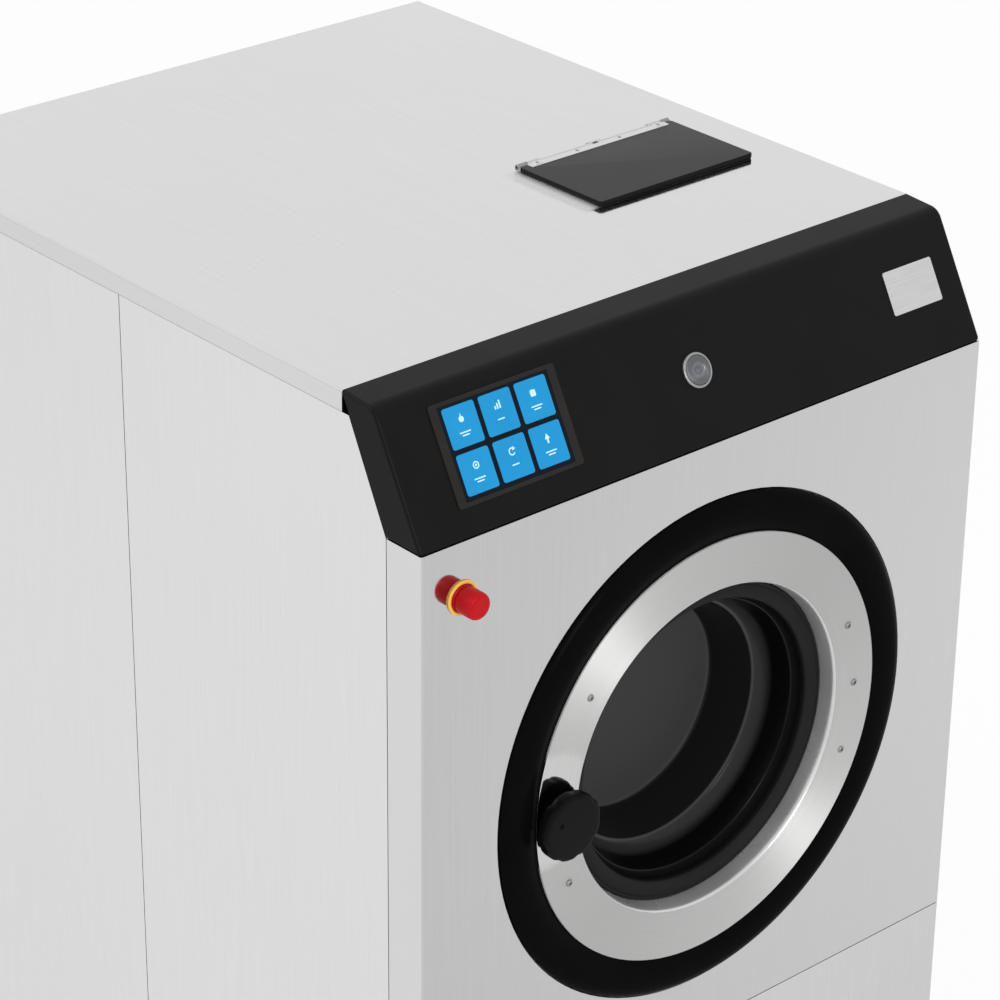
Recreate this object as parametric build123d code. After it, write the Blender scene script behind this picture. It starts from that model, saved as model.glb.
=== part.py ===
from build123d import *
import math
import os

# Front-loading washer-extractor for a laundry room, in millimetres.
# X runs to the right as seen from the front, Y to the back, Z up.
# The origin is on the floor, under the middle of the cabinet.
# A depth is measured to the back from the face of the front panel, so what stands proud is negative.

# Cabinet
cabinet_width = 692.0
cabinet_depth = 833.0
cabinet_height = 1184.0
sheet = 1.5
bend_radius = 2.5
corner_strip = 45.5
skirt_height = 20.0
side_seam_share = 0.5114
seam_gap = 0.9
panel_flange = 12.0
overrun = 2.0
fit = 0.3
slip = 0.1
running = 0.05

# Base frame
base_height = 60.0
rail_width = 60.0
cross_rail_width = 50.0
rail_wall = 4.0
anchor_hole_radius = 9.0
anchor_end_inset = 110.0

# Fascia, a sloped housing over the cut-back top corner
fascia_drop = 118.0
fascia_top_depth = 104.0
fascia_ridge_depth = 63.0
fascia_ridge_drop = 2.4
fascia_wall = 3.0
fascia_ridge_radius = 16.0
fascia_foot_radius = 2.0
fascia_end_radius = 3.0
fascia_lower_flange = 15.0

# Display, set into the fascia
display_width = 142.0
display_height = 92.0
display_left_inset = 123.5
display_rise = 6.0
display_lip = 1.2
display_tray_depth = 20.0
display_tray_wall = 2.5
display_tray_inset = 3.0
screen_width = 124.0
screen_height = 84.0
screen_thickness = 1.6
screen_recess = 0.3

# Start button
button_x = 1.0
button_rise = 1.5
button_collar_radius = 16.4
button_collar_height = 2.6
button_collar_wall = 3.0
button_radius = 13.8
button_height = 3.2
button_length = 17.0
button_travel = 2.5
button_dish_radius = 7.4
button_dish_depth = 0.6
button_edge_radius = 1.0
button_cup_floor = 2.0

# Bare plate
plate_width = 64.8
plate_height = 42.0
plate_thickness = 1.0
plate_right_inset = 64.2
plate_rise = 5.0
plate_corner_radius = 2.0

# Emergency stop
stop_left_inset = 45.5
stop_drop = 171.0
stop_head_radius = 14.2
stop_head_proud = 26.0
stop_head_length = 42.0
stop_head_edge_radius = 4.0
stop_travel = 4.0
stop_collar_radius = 16.8
stop_collar_height = 5.5
stop_collar_edge = 1.6
stop_sleeve_wall = 1.4
stop_cup_floor = 2.0

# Door opening
door_drop = 433.0
panel_hole_radius = 258.0
panel_below_hole = 59.0

# Door, from the outside in
bezel_radius = 256.5
bezel_proud = 8.0
bezel_wall = 1.8
bezel_crest_outer_radius = 244.0
bezel_crest_inner_radius = 231.0
bezel_shoulder = 5.5
bezel_shoulder_share = 0.64
bezel_crest_radius = 4.8
bezel_rim_depth = 1.0
bezel_flange_inner_radius = 200.0
bezel_edge_radius = 1.2
ring_radius = 216.4
ring_proud = 6.0
ring_sheet = 2.0
ring_lip_radius = 165.0
ring_lip_end_radius = 162.5
ring_lip_depth = 17.7
ring_lip_bend = 3.0
ring_edge_radius = 1.0
frame_inner_radius = 174.0
frame_outer_radius = 212.0
frame_back_depth = 11.0
frame_collar_thickness = 5.0
frame_collar_depth = 24.0
gasket_inner_radius = 138.5
gasket_thickness = 8.0
gasket_edge = 2.0
bowl_flange_radius = 149.0
bowl_flange_thickness = 5.4
bowl_wall = 5.0
bowl_mouth_radius = 136.5
bowl_shoulder_radius = 131.0
bowl_shoulder_depth = 46.0
bowl_step_outer_radius = 126.5
bowl_step_radius = 121.5
bowl_step_depth = 66.0
bowl_floor_radius = 110.7
bowl_depth = 111.6
bowl_corner_radius = 6.0

# Ring screws, by their angle round the door from its right side, anticlockwise from the front
ring_screw_angles = (21.0, 0.5, -21.0, 144.0, 203.0)
ring_screw_head_radius = 3.6
ring_screw_head_height = 1.8
dome_share = 0.8
ring_screw_shank_radius = 2.5
ring_screw_length = 8.0

# Knob and latch
knob_radius = 32.5
knob_proud = 28.0
knob_thickness = 14.0
knob_edge_radius = 3.0
knob_neck_radius = 17.0
knob_flute_radius = 9.0
knob_flute_depth = 1.5
knob_flutes = 9
knob_dot_x = 15.0
knob_dot_z = 6.5
knob_dot_radius = 2.4
knob_dot_depth = 1.4
spindle_radius = 8.0
spindle_seat = 4.0
cam_thickness = 4.0
cam_length = 32.0
cam_half_width = 8.0
cam_gap = 2.0
striker_lip_thickness = 4.0
striker_lip_reach = 17.0
striker_lip_half_height = 14.0
striker_gap = 0.5
lock_width = 22.0
lock_half_height = 35.0
lock_wall_gap = 5.0

# Door hinge, hidden behind the outer ring
hinge_inset = 16.5
hinge_proud = 1.5
knuckle_radius = 4.2
hinge_pin_radius = 2.2
fixed_knuckle_half_length = 19.5
moving_knuckle_inner = 20.0
moving_knuckle_outer = 45.0
hinge_pin_overhang = 2.0
knuckle_blend_share = 0.8
leaf_thickness = 4.0
leaf_inner_radius = 178.0
leaf_plate_width = 28.0
leaf_half_height = 48.0
leaf_heel = 10.0
bracket_plate_thickness = 2.8
bracket_plate_width = 44.0
bracket_neck = 5.0

# Mouth seal, recess pan and tub
seal_gap = 0.4
seal_inner_radius = 150.0
seal_outer_radius = 164.7
seal_thickness = 7.6
seal_edge = 1.5
recess_seat = 2.1
recess_radius = 264.0
mouth_radius = 156.0
mouth_wall = 2.5
mouth_length = 26.0
tub_side_gap = 44.0
tub_wall = 2.0
tub_plate = 4.0
cradle_thickness = 6.0
cradle_half_width_share = 0.85
cradle_top_share = 0.45
cradle_places_share = (0.17, 0.8)

# Drum
drum_gap = 35.5
drum_wall = 1.5
drum_plate = 3.0
drum_mouth_radius = 165.0
drum_front_gap = 10.0
drum_back_gap = 22.0
drum_lip_depth = 6.0
lifter_height = 50.0
lifter_base = 76.0
lifter_top = 26.0
lifter_wall = 1.5
lifter_end_gap = 14.0
lifters = 3
spider_arm_width = 46.0
spider_arm_depth = 10.0
spider_hub_radius = 52.0
spider_hub_depth = 18.0

# Shaft, bearings and housing
shaft_radius = 22.5
shaft_seat = 14.0
shaft_overhang = 8.0
bearing_radius = 45.0
bearing_width = 23.0
bearing_edge_inset = 8.0
housing_radius = 62.0
housing_length = 112.0
housing_flange_radius = 110.0
housing_flange = 12.0
housing_front_lip = 6.0
shaft_hole_clearance = 1.5

# Belt drive and motor; the motor's shares are of the room between the base frame and the tub
drive_clearance = 91.5
pulley_gap = 8.0
pulley_width = 30.0
drum_pulley_radius = 180.0
pulley_rim = 12.0
pulley_web = 8.0
pulley_hub_radius = 44.0
pulley_web_holes = 6
pulley_hole_radius = 34.0
motor_pulley_radius = 45.0
belt_thickness = 4.0
belt_width = 24.0
motor_x = 95.0
motor_height_share = 0.4756
motor_radius_share = 0.2185
motor_length = 190.0
motor_shaft_radius = 12.0
motor_shaft_seat = 60.0
motor_foot_width = 130.0
motor_foot_plate = 8.0
motor_foot_web = 12.0
motor_foot_spread_share = 0.6
motor_box_size = 60.0
motor_box_share = 0.0875

# Drain; the height and the body's size are shares of the same room
drain_x = -60.0
drain_tub_share = 0.525
drain_room_share = 0.2828
drain_radius = 38.0
drain_wall = 3.0
drain_flange_radius = 50.0
drain_flange = 4.0

# Soap hopper in the top cover
hopper_lid_width = 201.0
hopper_lid_depth = 120.0
hopper_lid_front = 5.4
hopper_lid_back = 4.8
hopper_lid_wall = 3.0
hopper_lid_corner = 3.5
hopper_lid_edge = 0.8
hopper_right_inset = 151.0
hopper_front_depth = 260.0
hopper_rim_inset = 4.0
hopper_flange = 6.0
hopper_flange_thickness = 1.0
hopper_wall = 2.5
hopper_tub_gap = 17.0
hopper_dividers = 2
hopper_outlet_radius = 20.0
hopper_outlet_length = 40.0
hopper_outlet_x = 59.5
hose_wall = 3.0
hopper_knuckle_radius = 3.0
hopper_pin_radius = 1.5
hopper_leaf_depth = 10.0
hopper_leaf_thickness = 1.2
hopper_knuckle_spacing = 80.0
hopper_knuckle_length = 16.0
hopper_lid_knuckle_length = 12.0
hopper_web = 2.6

# Control box under the top cover
control_left_inset = 56.0
control_width = 220.0
control_front_depth = 130.0
control_depth = 170.0
control_tub_gap = 11.5
control_corner_radius = 4.0

# Back of the cabinet
cover_width = 430.0
cover_height = 520.0
cover_base = 480.0
cover_overlap = 15.0
louvre_rows = 9
louvre_width = 130.0
louvre_height = 8.0
louvre_pitch = 22.0
back_screw_radius = 4.5
back_screw_height = 2.5
back_screw_shank = 2.0
back_screw_rows = 4
valve_drop = 94.0
valve_right_inset = 116.0
valve_pitch = 60.0
valves = 3
valve_thread_radius = 13.2
valve_thread_length = 14.0
valve_bore_radius = 9.0
valve_body_width = 40.0
valve_body_depth = 50.0
valve_body_height = 60.0
valve_collar_radius = 15.0
valve_nut_radius = 18.0
valve_nut = 4.0
vent_left_inset = 146.0
vent_drop = 84.0
vent_radius = 40.0
vent_wall = 2.0
vent_length = 26.0
vent_inner_length = 60.0
vent_flange_radius = 52.0
vent_flange = 3.0
gland_left_inset = 56.0
gland_drop = 144.0
gland_radius = 13.0
gland_length = 16.0
gland_bore_radius = 7.0
gland_nut_radius = 18.0
gland_nut = 5.0

# Worked out from the sizes above
half_width = cabinet_width / 2
front_y = -cabinet_depth / 2
inner_half_width = half_width - sheet
door_height = cabinet_height - door_drop
service_seam_height = door_height - panel_hole_radius - panel_below_hole
skirt_base = cabinet_height - skirt_height
side_seam_depth = cabinet_depth * side_seam_share
tub_radius = half_width - tub_side_gap
drum_radius = tub_radius - drum_gap
under_tub_room = door_height - tub_radius - base_height
over_tub_room = door_drop - tub_radius
fascia_base = cabinet_height - fascia_drop
fascia_back_lean = (fascia_top_depth - corner_strip) / fascia_drop
ring_mid_radius = (ring_radius + ring_lip_radius) / 2
gasket_front = ring_lip_depth + fit
gasket_back = gasket_front + gasket_thickness
seal_front = gasket_back + seal_gap
seal_back = seal_front + seal_thickness
recess_floor = seal_front + recess_seat
tub_front = seal_back + mouth_length
drive_length = housing_length + pulley_gap + pulley_width + shaft_overhang + drive_clearance + sheet
tub_back = cabinet_depth - drive_length - tub_plate
tub_length = tub_back - tub_front - tub_plate
drum_front = tub_front + tub_plate + drum_front_gap
drum_back = tub_back - drum_back_gap - drum_plate
drum_inner_radius = drum_radius - drum_wall
housing_front = tub_back + tub_plate
housing_back = housing_front + housing_length
pulley_front = housing_back + pulley_gap
pulley_back = pulley_front + pulley_width
motor_back = housing_back
motor_height = base_height + under_tub_room * motor_height_share
motor_radius = under_tub_room * motor_radius_share
motor_box_height = under_tub_room * motor_box_share
drain_tub_depth = tub_front + tub_length * drain_tub_share
drain_body_size = under_tub_room * drain_room_share
drain_height = base_height + drain_body_size
vent_x = vent_left_inset - half_width
gland_x = gland_left_inset - half_width
control_height = over_tub_room - sheet - control_tub_gap
hopper_x = half_width - hopper_right_inset
hopper_depth = over_tub_room - hopper_tub_gap
hinge_x = bezel_radius - hinge_inset
rear_reach = knob_proud
hopper_back_depth = hopper_front_depth + hopper_lid_depth
lid_base = cabinet_height + hopper_flange_thickness + fit
hopper_axis_depth = hopper_back_depth + hopper_knuckle_radius + hopper_web / 4
hopper_axis_height = cabinet_height + hopper_leaf_thickness + slip + hopper_knuckle_radius

fascia_fall = fascia_drop - fascia_ridge_drop
fascia_face_length = math.hypot(fascia_ridge_depth, fascia_fall)
fascia_plane = Plane(
    origin=(0, front_y + fascia_ridge_depth / 2, fascia_base + fascia_fall / 2),
    x_dir=(1, 0, 0),
    z_dir=(0, -fascia_fall / fascia_face_length, fascia_ridge_depth / fascia_face_length),
)


def span_box(x_span, y_span, z_span):
    """A box between two values on each axis."""
    sizes = [high - low for low, high in (x_span, y_span, z_span)]
    middle = [(high + low) / 2 for low, high in (x_span, y_span, z_span)]
    return Pos(*middle) * Box(*sizes)


def depth_box(x_span, depth_span, z_span):
    """A box whose Y values are depths behind the front panel's face."""
    return span_box(x_span, [front_y + depth for depth in depth_span], z_span)


def turned(outline, radii=0.0, x=0.0, z=door_height):
    """A body turned about an axis along Y, from an outline of radius and depth."""
    points = [(radius, front_y + depth) for radius, depth in outline]
    path = FilletPolyline(*points, radius=radii, close=True)
    return Pos(x, 0, z) * revolve(make_face(path), Axis.Y)


def rod(radius, depth_span, x=0.0, z=door_height):
    """A round bar along Y between two depths."""
    length = depth_span[1] - depth_span[0]
    middle = front_y + (depth_span[0] + depth_span[1]) / 2
    return Pos(x, middle, z) * Rot(90, 0, 0) * Cylinder(radius, length)


def pillar(radius, z_span, x, depth):
    """A round bar along Z between two heights."""
    length = z_span[1] - z_span[0]
    return Pos(x, front_y + depth, (z_span[0] + z_span[1]) / 2) * Cylinder(radius, length)


def side_profile(outline, x_span, radii=0.0):
    """A body with an outline of depth and height, run along X."""
    points = [(front_y + depth, height) for depth, height in outline]
    path = FilletPolyline(*points, radius=radii, close=True)
    body = extrude(Plane.YZ * make_face(path), x_span[1] - x_span[0])
    return Pos(x_span[0], 0, 0) * body


def top_profile(outline, z_span):
    """A body with an outline of x and depth, run along Z."""
    points = [(x, front_y + depth) for x, depth in outline]
    body = extrude(make_face(Polyline(*points, close=True)), z_span[1] - z_span[0])
    return Pos(0, 0, z_span[0]) * body


def on_fascia(body, x=0.0, rise=0.0):
    """Stands a body, made flat with its foot at zero, on the fascia's sloped face."""
    return fascia_plane * Pos(x, rise, 0) * body


def rise_box(width, height, low, high):
    """A box centred in plan, between two heights of its own frame."""
    return Pos(0, 0, (low + high) / 2) * Box(width, height, high - low)


def rise_rod(radius, low, high):
    """A round bar centred in plan, between two heights of its own frame."""
    return Pos(0, 0, (low + high) / 2) * Cylinder(radius, high - low)


def ring_place(angle, radius=ring_mid_radius):
    """The x and z of a point round the door."""
    turn = math.radians(angle)
    return radius * math.cos(turn), door_height + radius * math.sin(turn)


def base_frame():
    """Box-section rails on the floor, with anchor holes through the side rails."""
    inner = rail_width - rail_wall
    front_rail = depth_box((-half_width, half_width), (0, rail_width), (0, base_height))
    front_bore = depth_box(
        (rail_wall - half_width, half_width - rail_wall),
        (rail_wall, inner),
        (rail_wall, base_height - rail_wall),
    )
    bars = [front_rail - front_bore]
    for side in (-1, 1):
        near, far = sorted((side * half_width, side * (half_width - rail_width)))
        rail = depth_box((near, far), (rail_width, cabinet_depth - sheet), (0, base_height))
        bore = depth_box(
            (near + rail_wall, far - rail_wall),
            (rail_width - overrun, cabinet_depth + overrun),
            (rail_wall, base_height - rail_wall),
        )
        rail = rail - bore
        for depth in (anchor_end_inset, cabinet_depth - anchor_end_inset):
            middle = side * (half_width - rail_width / 2)
            rail = rail - pillar(anchor_hole_radius, (-overrun, base_height + overrun), middle, depth)
        bars.append(rail)
    reach = half_width - rail_width
    for middle in cross_rail_depths():
        ends = (middle - cross_rail_width / 2, middle + cross_rail_width / 2)
        bar = depth_box((-reach, reach), ends, (0, base_height))
        bore = depth_box(
            (-reach - overrun, reach + overrun),
            (ends[0] + rail_wall, ends[1] - rail_wall),
            (rail_wall, base_height - rail_wall),
        )
        bars.append(bar - bore)
    return Compound(bars)


def cradle_depths():
    """The depths of the tub's two saddle plates."""
    return [tub_front + share * tub_length for share in cradle_places_share]


def cross_rail_depths():
    """The middles of the cross rails: under the saddles, under the motor and at the back."""
    back = cabinet_depth - sheet - cross_rail_width / 2
    return cradle_depths() + [motor_back - motor_length / 2, back]


def wrapped_panel(z_span):
    """A front sheet folded back round both corners of the cabinet."""
    outer = depth_box((-half_width, half_width), (0, corner_strip), z_span)
    inner = depth_box((-inner_half_width, inner_half_width), (sheet, corner_strip + overrun), z_span)
    panel = outer - inner
    uprights = panel.edges().filter_by(Axis.Z)
    corners = [edge for edge in uprights if edge.center().Y < front_y + sheet / 2]
    panel = fillet(corners, bend_radius)
    folds = [edge for edge in panel.edges().filter_by(Axis.Z) if on_fold(edge)]
    return fillet(folds, bend_radius - sheet)


def on_fold(edge):
    """Whether an upright edge is the inner line of a wrapped panel's corner."""
    across = abs(abs(edge.center().X) - inner_half_width) < slip
    return across and abs(edge.center().Y - front_y - sheet) < slip


def front_panel():
    """The upper front with the round door opening, the stop's hole and a shelf for the fascia."""
    z_span = (service_seam_height + seam_gap / 2, fascia_base)
    panel = wrapped_panel(z_span)
    shelf = depth_box(
        (-inner_half_width, inner_half_width), (sheet, corner_strip), (fascia_base - sheet, fascia_base)
    )
    panel = panel + shelf
    panel = panel - rod(panel_hole_radius, (-overrun, sheet + overrun))
    stop_x = stop_left_inset - half_width
    hole_radius = stop_head_radius + fit + stop_sleeve_wall + slip
    return panel - rod(hole_radius, (-overrun, sheet + overrun), stop_x, cabinet_height - stop_drop)


def service_panel():
    """The lower front, with a folded edge along its foot."""
    panel = wrapped_panel((base_height, service_seam_height - seam_gap / 2))
    return panel + depth_box(
        (-inner_half_width, inner_half_width), (sheet, corner_strip), (base_height, base_height + sheet)
    )


def side_sheet(side, outline, flanges):
    """One side sheet with its upright flanges, each given by its depth and top."""
    near, far = sorted((side * half_width, side * inner_half_width))
    body = side_profile(outline, (near, far))
    low, high = sorted((side * half_width, side * (half_width - panel_flange)))
    for depth, top in flanges:
        body = body + depth_box((low, high), (depth, depth + sheet), (base_height, top))
    return body


def front_side_panel(side):
    """The side sheet ahead of the seam; its top corner follows the back of the fascia."""
    start = corner_strip + seam_gap
    end = side_seam_depth - seam_gap / 2
    top = skirt_base - fit
    slope_end = start + (top - fascia_base) * fascia_back_lean
    outline = (
        (start, base_height),
        (end, base_height),
        (end, top),
        (slope_end, top),
        (start, fascia_base),
    )
    front_top = fascia_base - fascia_lower_flange - fit
    return side_sheet(side, outline, ((start, front_top), (end - sheet, top)))


def rear_side_panel(side):
    """The side sheet behind the seam."""
    start = side_seam_depth + seam_gap / 2
    end = cabinet_depth - sheet
    top = skirt_base - fit
    outline = ((start, base_height), (end, base_height), (end, top), (start, top))
    return side_sheet(side, outline, ((start, top), (end - sheet, top)))


def top_cover():
    """The top sheet with its folded skirt and the hopper's cut-out."""
    outer = depth_box(
        (-half_width, half_width), (fascia_top_depth, cabinet_depth), (skirt_base, cabinet_height)
    )
    edges = outer.edges().filter_by_position(
        Axis.Z, cabinet_height - overrun / 2, cabinet_height + overrun / 2
    )
    front_edge = front_y + fascia_top_depth + sheet
    back_edges = [edge for edge in edges if edge.center().Y > front_edge]
    outer = fillet(back_edges, bend_radius)
    inner = depth_box(
        (-inner_half_width, inner_half_width),
        (fascia_top_depth - overrun, cabinet_depth - sheet),
        (skirt_base - overrun, cabinet_height - sheet),
    )
    return outer - inner - hopper_hole(slip, (cabinet_height - sheet - overrun, cabinet_height + overrun))


def hopper_sides(inset):
    """The x and depth spans of a rectangle set in from the hopper lid's outline."""
    half = hopper_lid_width / 2 - inset
    return (hopper_x - half, hopper_x + half), (hopper_front_depth + inset, hopper_back_depth - inset)


def hopper_hole(gap, z_span):
    """The cut-out that the hopper's walls drop through."""
    x_span, depth_span = hopper_sides(hopper_rim_inset + hopper_flange - gap)
    return depth_box(x_span, depth_span, z_span)


def rear_panel():
    """The back sheet, cut out for the service cover, drain, valves, vent and gland."""
    panel = depth_box(
        (-half_width, half_width), (cabinet_depth - sheet, cabinet_depth), (base_height, skirt_base - fit)
    )
    through = (cabinet_depth - sheet - overrun, cabinet_depth + overrun)
    half = cover_width / 2 - cover_overlap
    z_span = (cover_base + cover_overlap, cover_base + cover_height - cover_overlap)
    panel = panel - depth_box((-half, half), through, z_span)
    panel = panel - rod(drain_radius + drain_wall + slip, through, drain_x, drain_height)
    for x in valve_places():
        panel = panel - rod(valve_collar_radius + slip, through, x, cabinet_height - valve_drop)
    panel = panel - rod(vent_radius + vent_wall + slip, through, vent_x, cabinet_height - vent_drop)
    panel = panel - rod(gland_radius + slip, through, gland_x, cabinet_height - gland_drop)
    for x, z in back_screw_places():
        panel = panel - rod(back_screw_shank + slip, through, x, z)
    return panel


def rear_cover():
    """The louvred service cover over the belt drive."""
    span = (cabinet_depth, cabinet_depth + sheet)
    cover = depth_box((-cover_width / 2, cover_width / 2), span, (cover_base, cover_base + cover_height))
    through = (span[0] - overrun, span[1] + overrun)
    middle = cover_base + cover_height / 2
    for side in (-1, 1):
        x = side * cover_width / 4
        for row in range(louvre_rows):
            z = middle + (row - (louvre_rows - 1) / 2) * louvre_pitch
            slot = depth_box(
                (x - louvre_width / 2, x + louvre_width / 2),
                through,
                (z - louvre_height / 2, z + louvre_height / 2),
            )
            cover = cover - slot
    for x, z in back_screw_places():
        cover = cover - rod(back_screw_shank + slip, through, x, z)
    return cover


def back_screw_places():
    """Where the service cover's screws are."""
    x = cover_width / 2 - cover_overlap / 2
    low = cover_base + cover_overlap / 2
    step = (cover_height - cover_overlap) / (back_screw_rows - 1)
    return [(side * x, low + row * step) for side in (-1, 1) for row in range(back_screw_rows)]


def panel_screws():
    """The service cover's screws, as one group."""
    head_base = cabinet_depth + sheet
    shank_end = cabinet_depth - sheet - back_screw_height
    screws = []
    for x, z in back_screw_places():
        head = rod(back_screw_radius, (head_base, head_base + back_screw_height), x, z)
        head = fillet(head.edges().sort_by(Axis.Y)[-1], back_screw_height / 2)
        screws.append(head + rod(back_screw_shank, (shank_end, head_base), x, z))
    return Compound(screws)


def fascia_outline():
    """Depth and height of the housing's four corners: back top, ridge, foot, back foot."""
    return (
        (fascia_top_depth, cabinet_height),
        (fascia_ridge_depth, cabinet_height - fascia_ridge_drop),
        (0, fascia_base),
        (corner_strip, fascia_base),
    )


def fascia_housing():
    """The moulded shell, open at its back, with openings for the display and the button."""
    radii = (0, fascia_ridge_radius, fascia_foot_radius, 0)
    body = side_profile(fascia_outline(), (-half_width, half_width), radii)
    for end in (0, -1):
        rim = body.faces().sort_by(Axis.X)[end].edges()
        lowest_back = front_y + corner_strip - sheet
        front_rim = [edge for edge in rim if edge.center().Y < lowest_back]
        body = fillet(front_rim, fascia_end_radius)
    body = body - fascia_hollow()
    display_hole = rise_box(
        display_width - 2 * display_tray_inset + 2 * slip,
        display_height - 2 * display_tray_inset + 2 * slip,
        -fascia_wall - overrun,
        overrun,
    )
    body = body - on_fascia(display_hole, display_x(), display_rise)
    sleeve_radius = button_radius + fit + button_collar_wall / 2
    button_hole = rise_rod(sleeve_radius + slip, -fascia_wall - overrun, overrun)
    return body - on_fascia(button_hole, button_x, button_rise)


def fascia_hollow():
    """The space inside the housing, run out through its back."""
    points = [(front_y + depth, height) for depth, height in fascia_outline()]
    inner = offset(make_face(Polyline(*points, close=True)), -fascia_wall)
    inner = inner + Pos(2 * fascia_wall, 0, 0) * inner
    length = cabinet_width - 2 * fascia_wall
    return Pos(-length / 2, 0, 0) * extrude(Plane.YZ * inner, length)


def display_x():
    """The display's middle."""
    return display_left_inset - half_width


def fascia_backplate():
    """The sloped sheet that closes the cabinet behind the fascia."""
    top = cabinet_height - sheet
    top_depth = corner_strip + (top - fascia_base) * fascia_back_lean
    foot = fascia_base - fascia_lower_flange
    outline = (
        (corner_strip, foot),
        (corner_strip, fascia_base),
        (top_depth, top),
        (top_depth + sheet, top),
        (corner_strip + sheet, fascia_base),
        (corner_strip + sheet, foot),
    )
    return side_profile(outline, (-inner_half_width, inner_half_width))


def display_bezel():
    """The display's frame and tray."""
    lip = rise_box(display_width, display_height, 0, display_lip)
    lip = fillet(lip.edges().filter_by(Axis.Z), display_tray_inset)
    tray_width = display_width - 2 * display_tray_inset
    tray_height = display_height - 2 * display_tray_inset
    tray = rise_box(tray_width, tray_height, -display_tray_depth, 0)
    hollow = rise_box(
        tray_width - 2 * display_tray_wall,
        tray_height - 2 * display_tray_wall,
        display_tray_wall - display_tray_depth,
        -screen_thickness,
    )
    window = rise_box(screen_width + 2 * slip, screen_height + 2 * slip, -screen_thickness, display_lip)
    return on_fascia(lip + tray - hollow - window, display_x(), display_rise)


def display_glass():
    """The touch glass, just under the frame's lip."""
    top = display_lip - screen_recess
    ledge = rise_box(screen_width, screen_height, top - screen_thickness, top)
    return on_fascia(ledge, display_x(), display_rise)


def button_collar():
    """The round button's bright collar, with the cup that guides it."""
    bore = button_radius + fit
    floor = button_height - button_length - button_travel - button_travel
    collar = rise_rod(button_collar_radius, 0, button_collar_height)
    collar = fillet(collar.edges().sort_by(Axis.Z)[-1], button_edge_radius)
    sleeve = rise_rod(bore + button_collar_wall / 2, floor - button_cup_floor, 0)
    cup = collar + sleeve - rise_rod(bore, floor, button_collar_height + overrun)
    return on_fascia(cup, button_x, button_rise)


def start_button():
    """The push button, dished in its middle."""
    low = button_height - button_length
    cap = rise_rod(button_radius, low, button_height)
    cap = fillet(cap.edges().sort_by(Axis.Z)[-1], button_edge_radius)
    dish = rise_rod(button_dish_radius, button_height - button_dish_depth, button_height + overrun)
    return on_fascia(cap - dish, button_x, button_rise)


def badge_plate():
    """The bare metal plate at the right of the fascia."""
    plate = rise_box(plate_width, plate_height, 0, plate_thickness)
    plate = fillet(plate.edges().filter_by(Axis.Z), plate_corner_radius)
    return on_fascia(plate, half_width - plate_right_inset, plate_rise)


def estop_collar():
    """The yellow ring round the stop's head, with the cup behind the panel."""
    x = stop_left_inset - half_width
    z = cabinet_height - stop_drop
    bore = stop_head_radius + fit
    head_end = stop_head_length - stop_head_proud
    floor = head_end + stop_travel + stop_travel / 2
    collar = rod(stop_collar_radius, (-stop_collar_height, 0), x, z)
    collar = fillet(collar.edges().sort_by(Axis.Y)[0], stop_collar_edge)
    cup = rod(bore + stop_sleeve_wall, (0, floor + stop_cup_floor), x, z)
    return collar + cup - rod(bore, (-stop_collar_height - overrun, floor), x, z)


def estop_head():
    """The red mushroom head and its stem."""
    x = stop_left_inset - half_width
    z = cabinet_height - stop_drop
    head = rod(stop_head_radius, (-stop_head_proud, stop_head_length - stop_head_proud), x, z)
    return fillet(head.edges().sort_by(Axis.Y)[0], stop_head_edge_radius)


def door_bezel():
    """The black outer ring, a turned shell with a flange caught behind the steel ring."""
    face = -ring_proud + ring_sheet
    slope = (bezel_radius - bezel_crest_outer_radius) * bezel_shoulder_share
    shoulder_radius = bezel_crest_outer_radius + slope
    outline = (
        (ring_radius + slip + bezel_wall, face),
        (bezel_crest_inner_radius, -bezel_proud),
        (bezel_crest_outer_radius, -bezel_proud),
        (shoulder_radius, -bezel_shoulder),
        (bezel_radius, -bezel_rim_depth),
        (bezel_radius, bezel_rim_depth),
        (bezel_radius - bezel_wall, bezel_rim_depth),
        (bezel_radius - bezel_wall, bezel_wall / 2 - bezel_rim_depth),
        (shoulder_radius - bezel_wall / 2, bezel_wall - bezel_shoulder),
        (bezel_crest_outer_radius - bezel_wall / 2, bezel_wall - bezel_proud),
        (bezel_crest_inner_radius + bezel_wall / 2, bezel_wall - bezel_proud),
        (ring_radius + slip + 2 * bezel_wall, face + bezel_wall),
        (bezel_flange_inner_radius, face + bezel_wall),
        (bezel_flange_inner_radius, face),
    )
    rounded = {1: bezel_edge_radius, 2: bezel_crest_radius, 3: bezel_edge_radius}
    return turned(outline, radii_for(outline, rounded))


def radii_for(outline, rounded):
    """Corner radii for an outline: those given by place, and sharp for the rest."""
    return [rounded.get(place, 0) for place in range(len(outline))]


def door_ring():
    """The stainless ring, its inner edge rolled into the mouth."""
    face = -ring_proud
    back = face + ring_sheet
    lip_start = ring_lip_radius + ring_sheet
    outline = (
        (ring_radius, face),
        (lip_start, face),
        (ring_lip_end_radius, ring_lip_depth),
        (ring_lip_end_radius + ring_sheet, ring_lip_depth),
        (lip_start + ring_sheet, back),
        (ring_radius, back),
    )
    ring = turned(
        outline,
        radii_for(outline, {0: ring_edge_radius, 1: ring_lip_bend, 4: ring_lip_bend - ring_sheet}),
    )
    for angle in ring_screw_angles:
        x, z = ring_place(angle)
        ring = ring - rod(ring_screw_shank_radius + slip, (face - overrun, back + overrun), x, z)
    x, z = ring_place(180)
    return ring - rod(spindle_radius + slip, (face - overrun, back + overrun), x, z)


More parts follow.
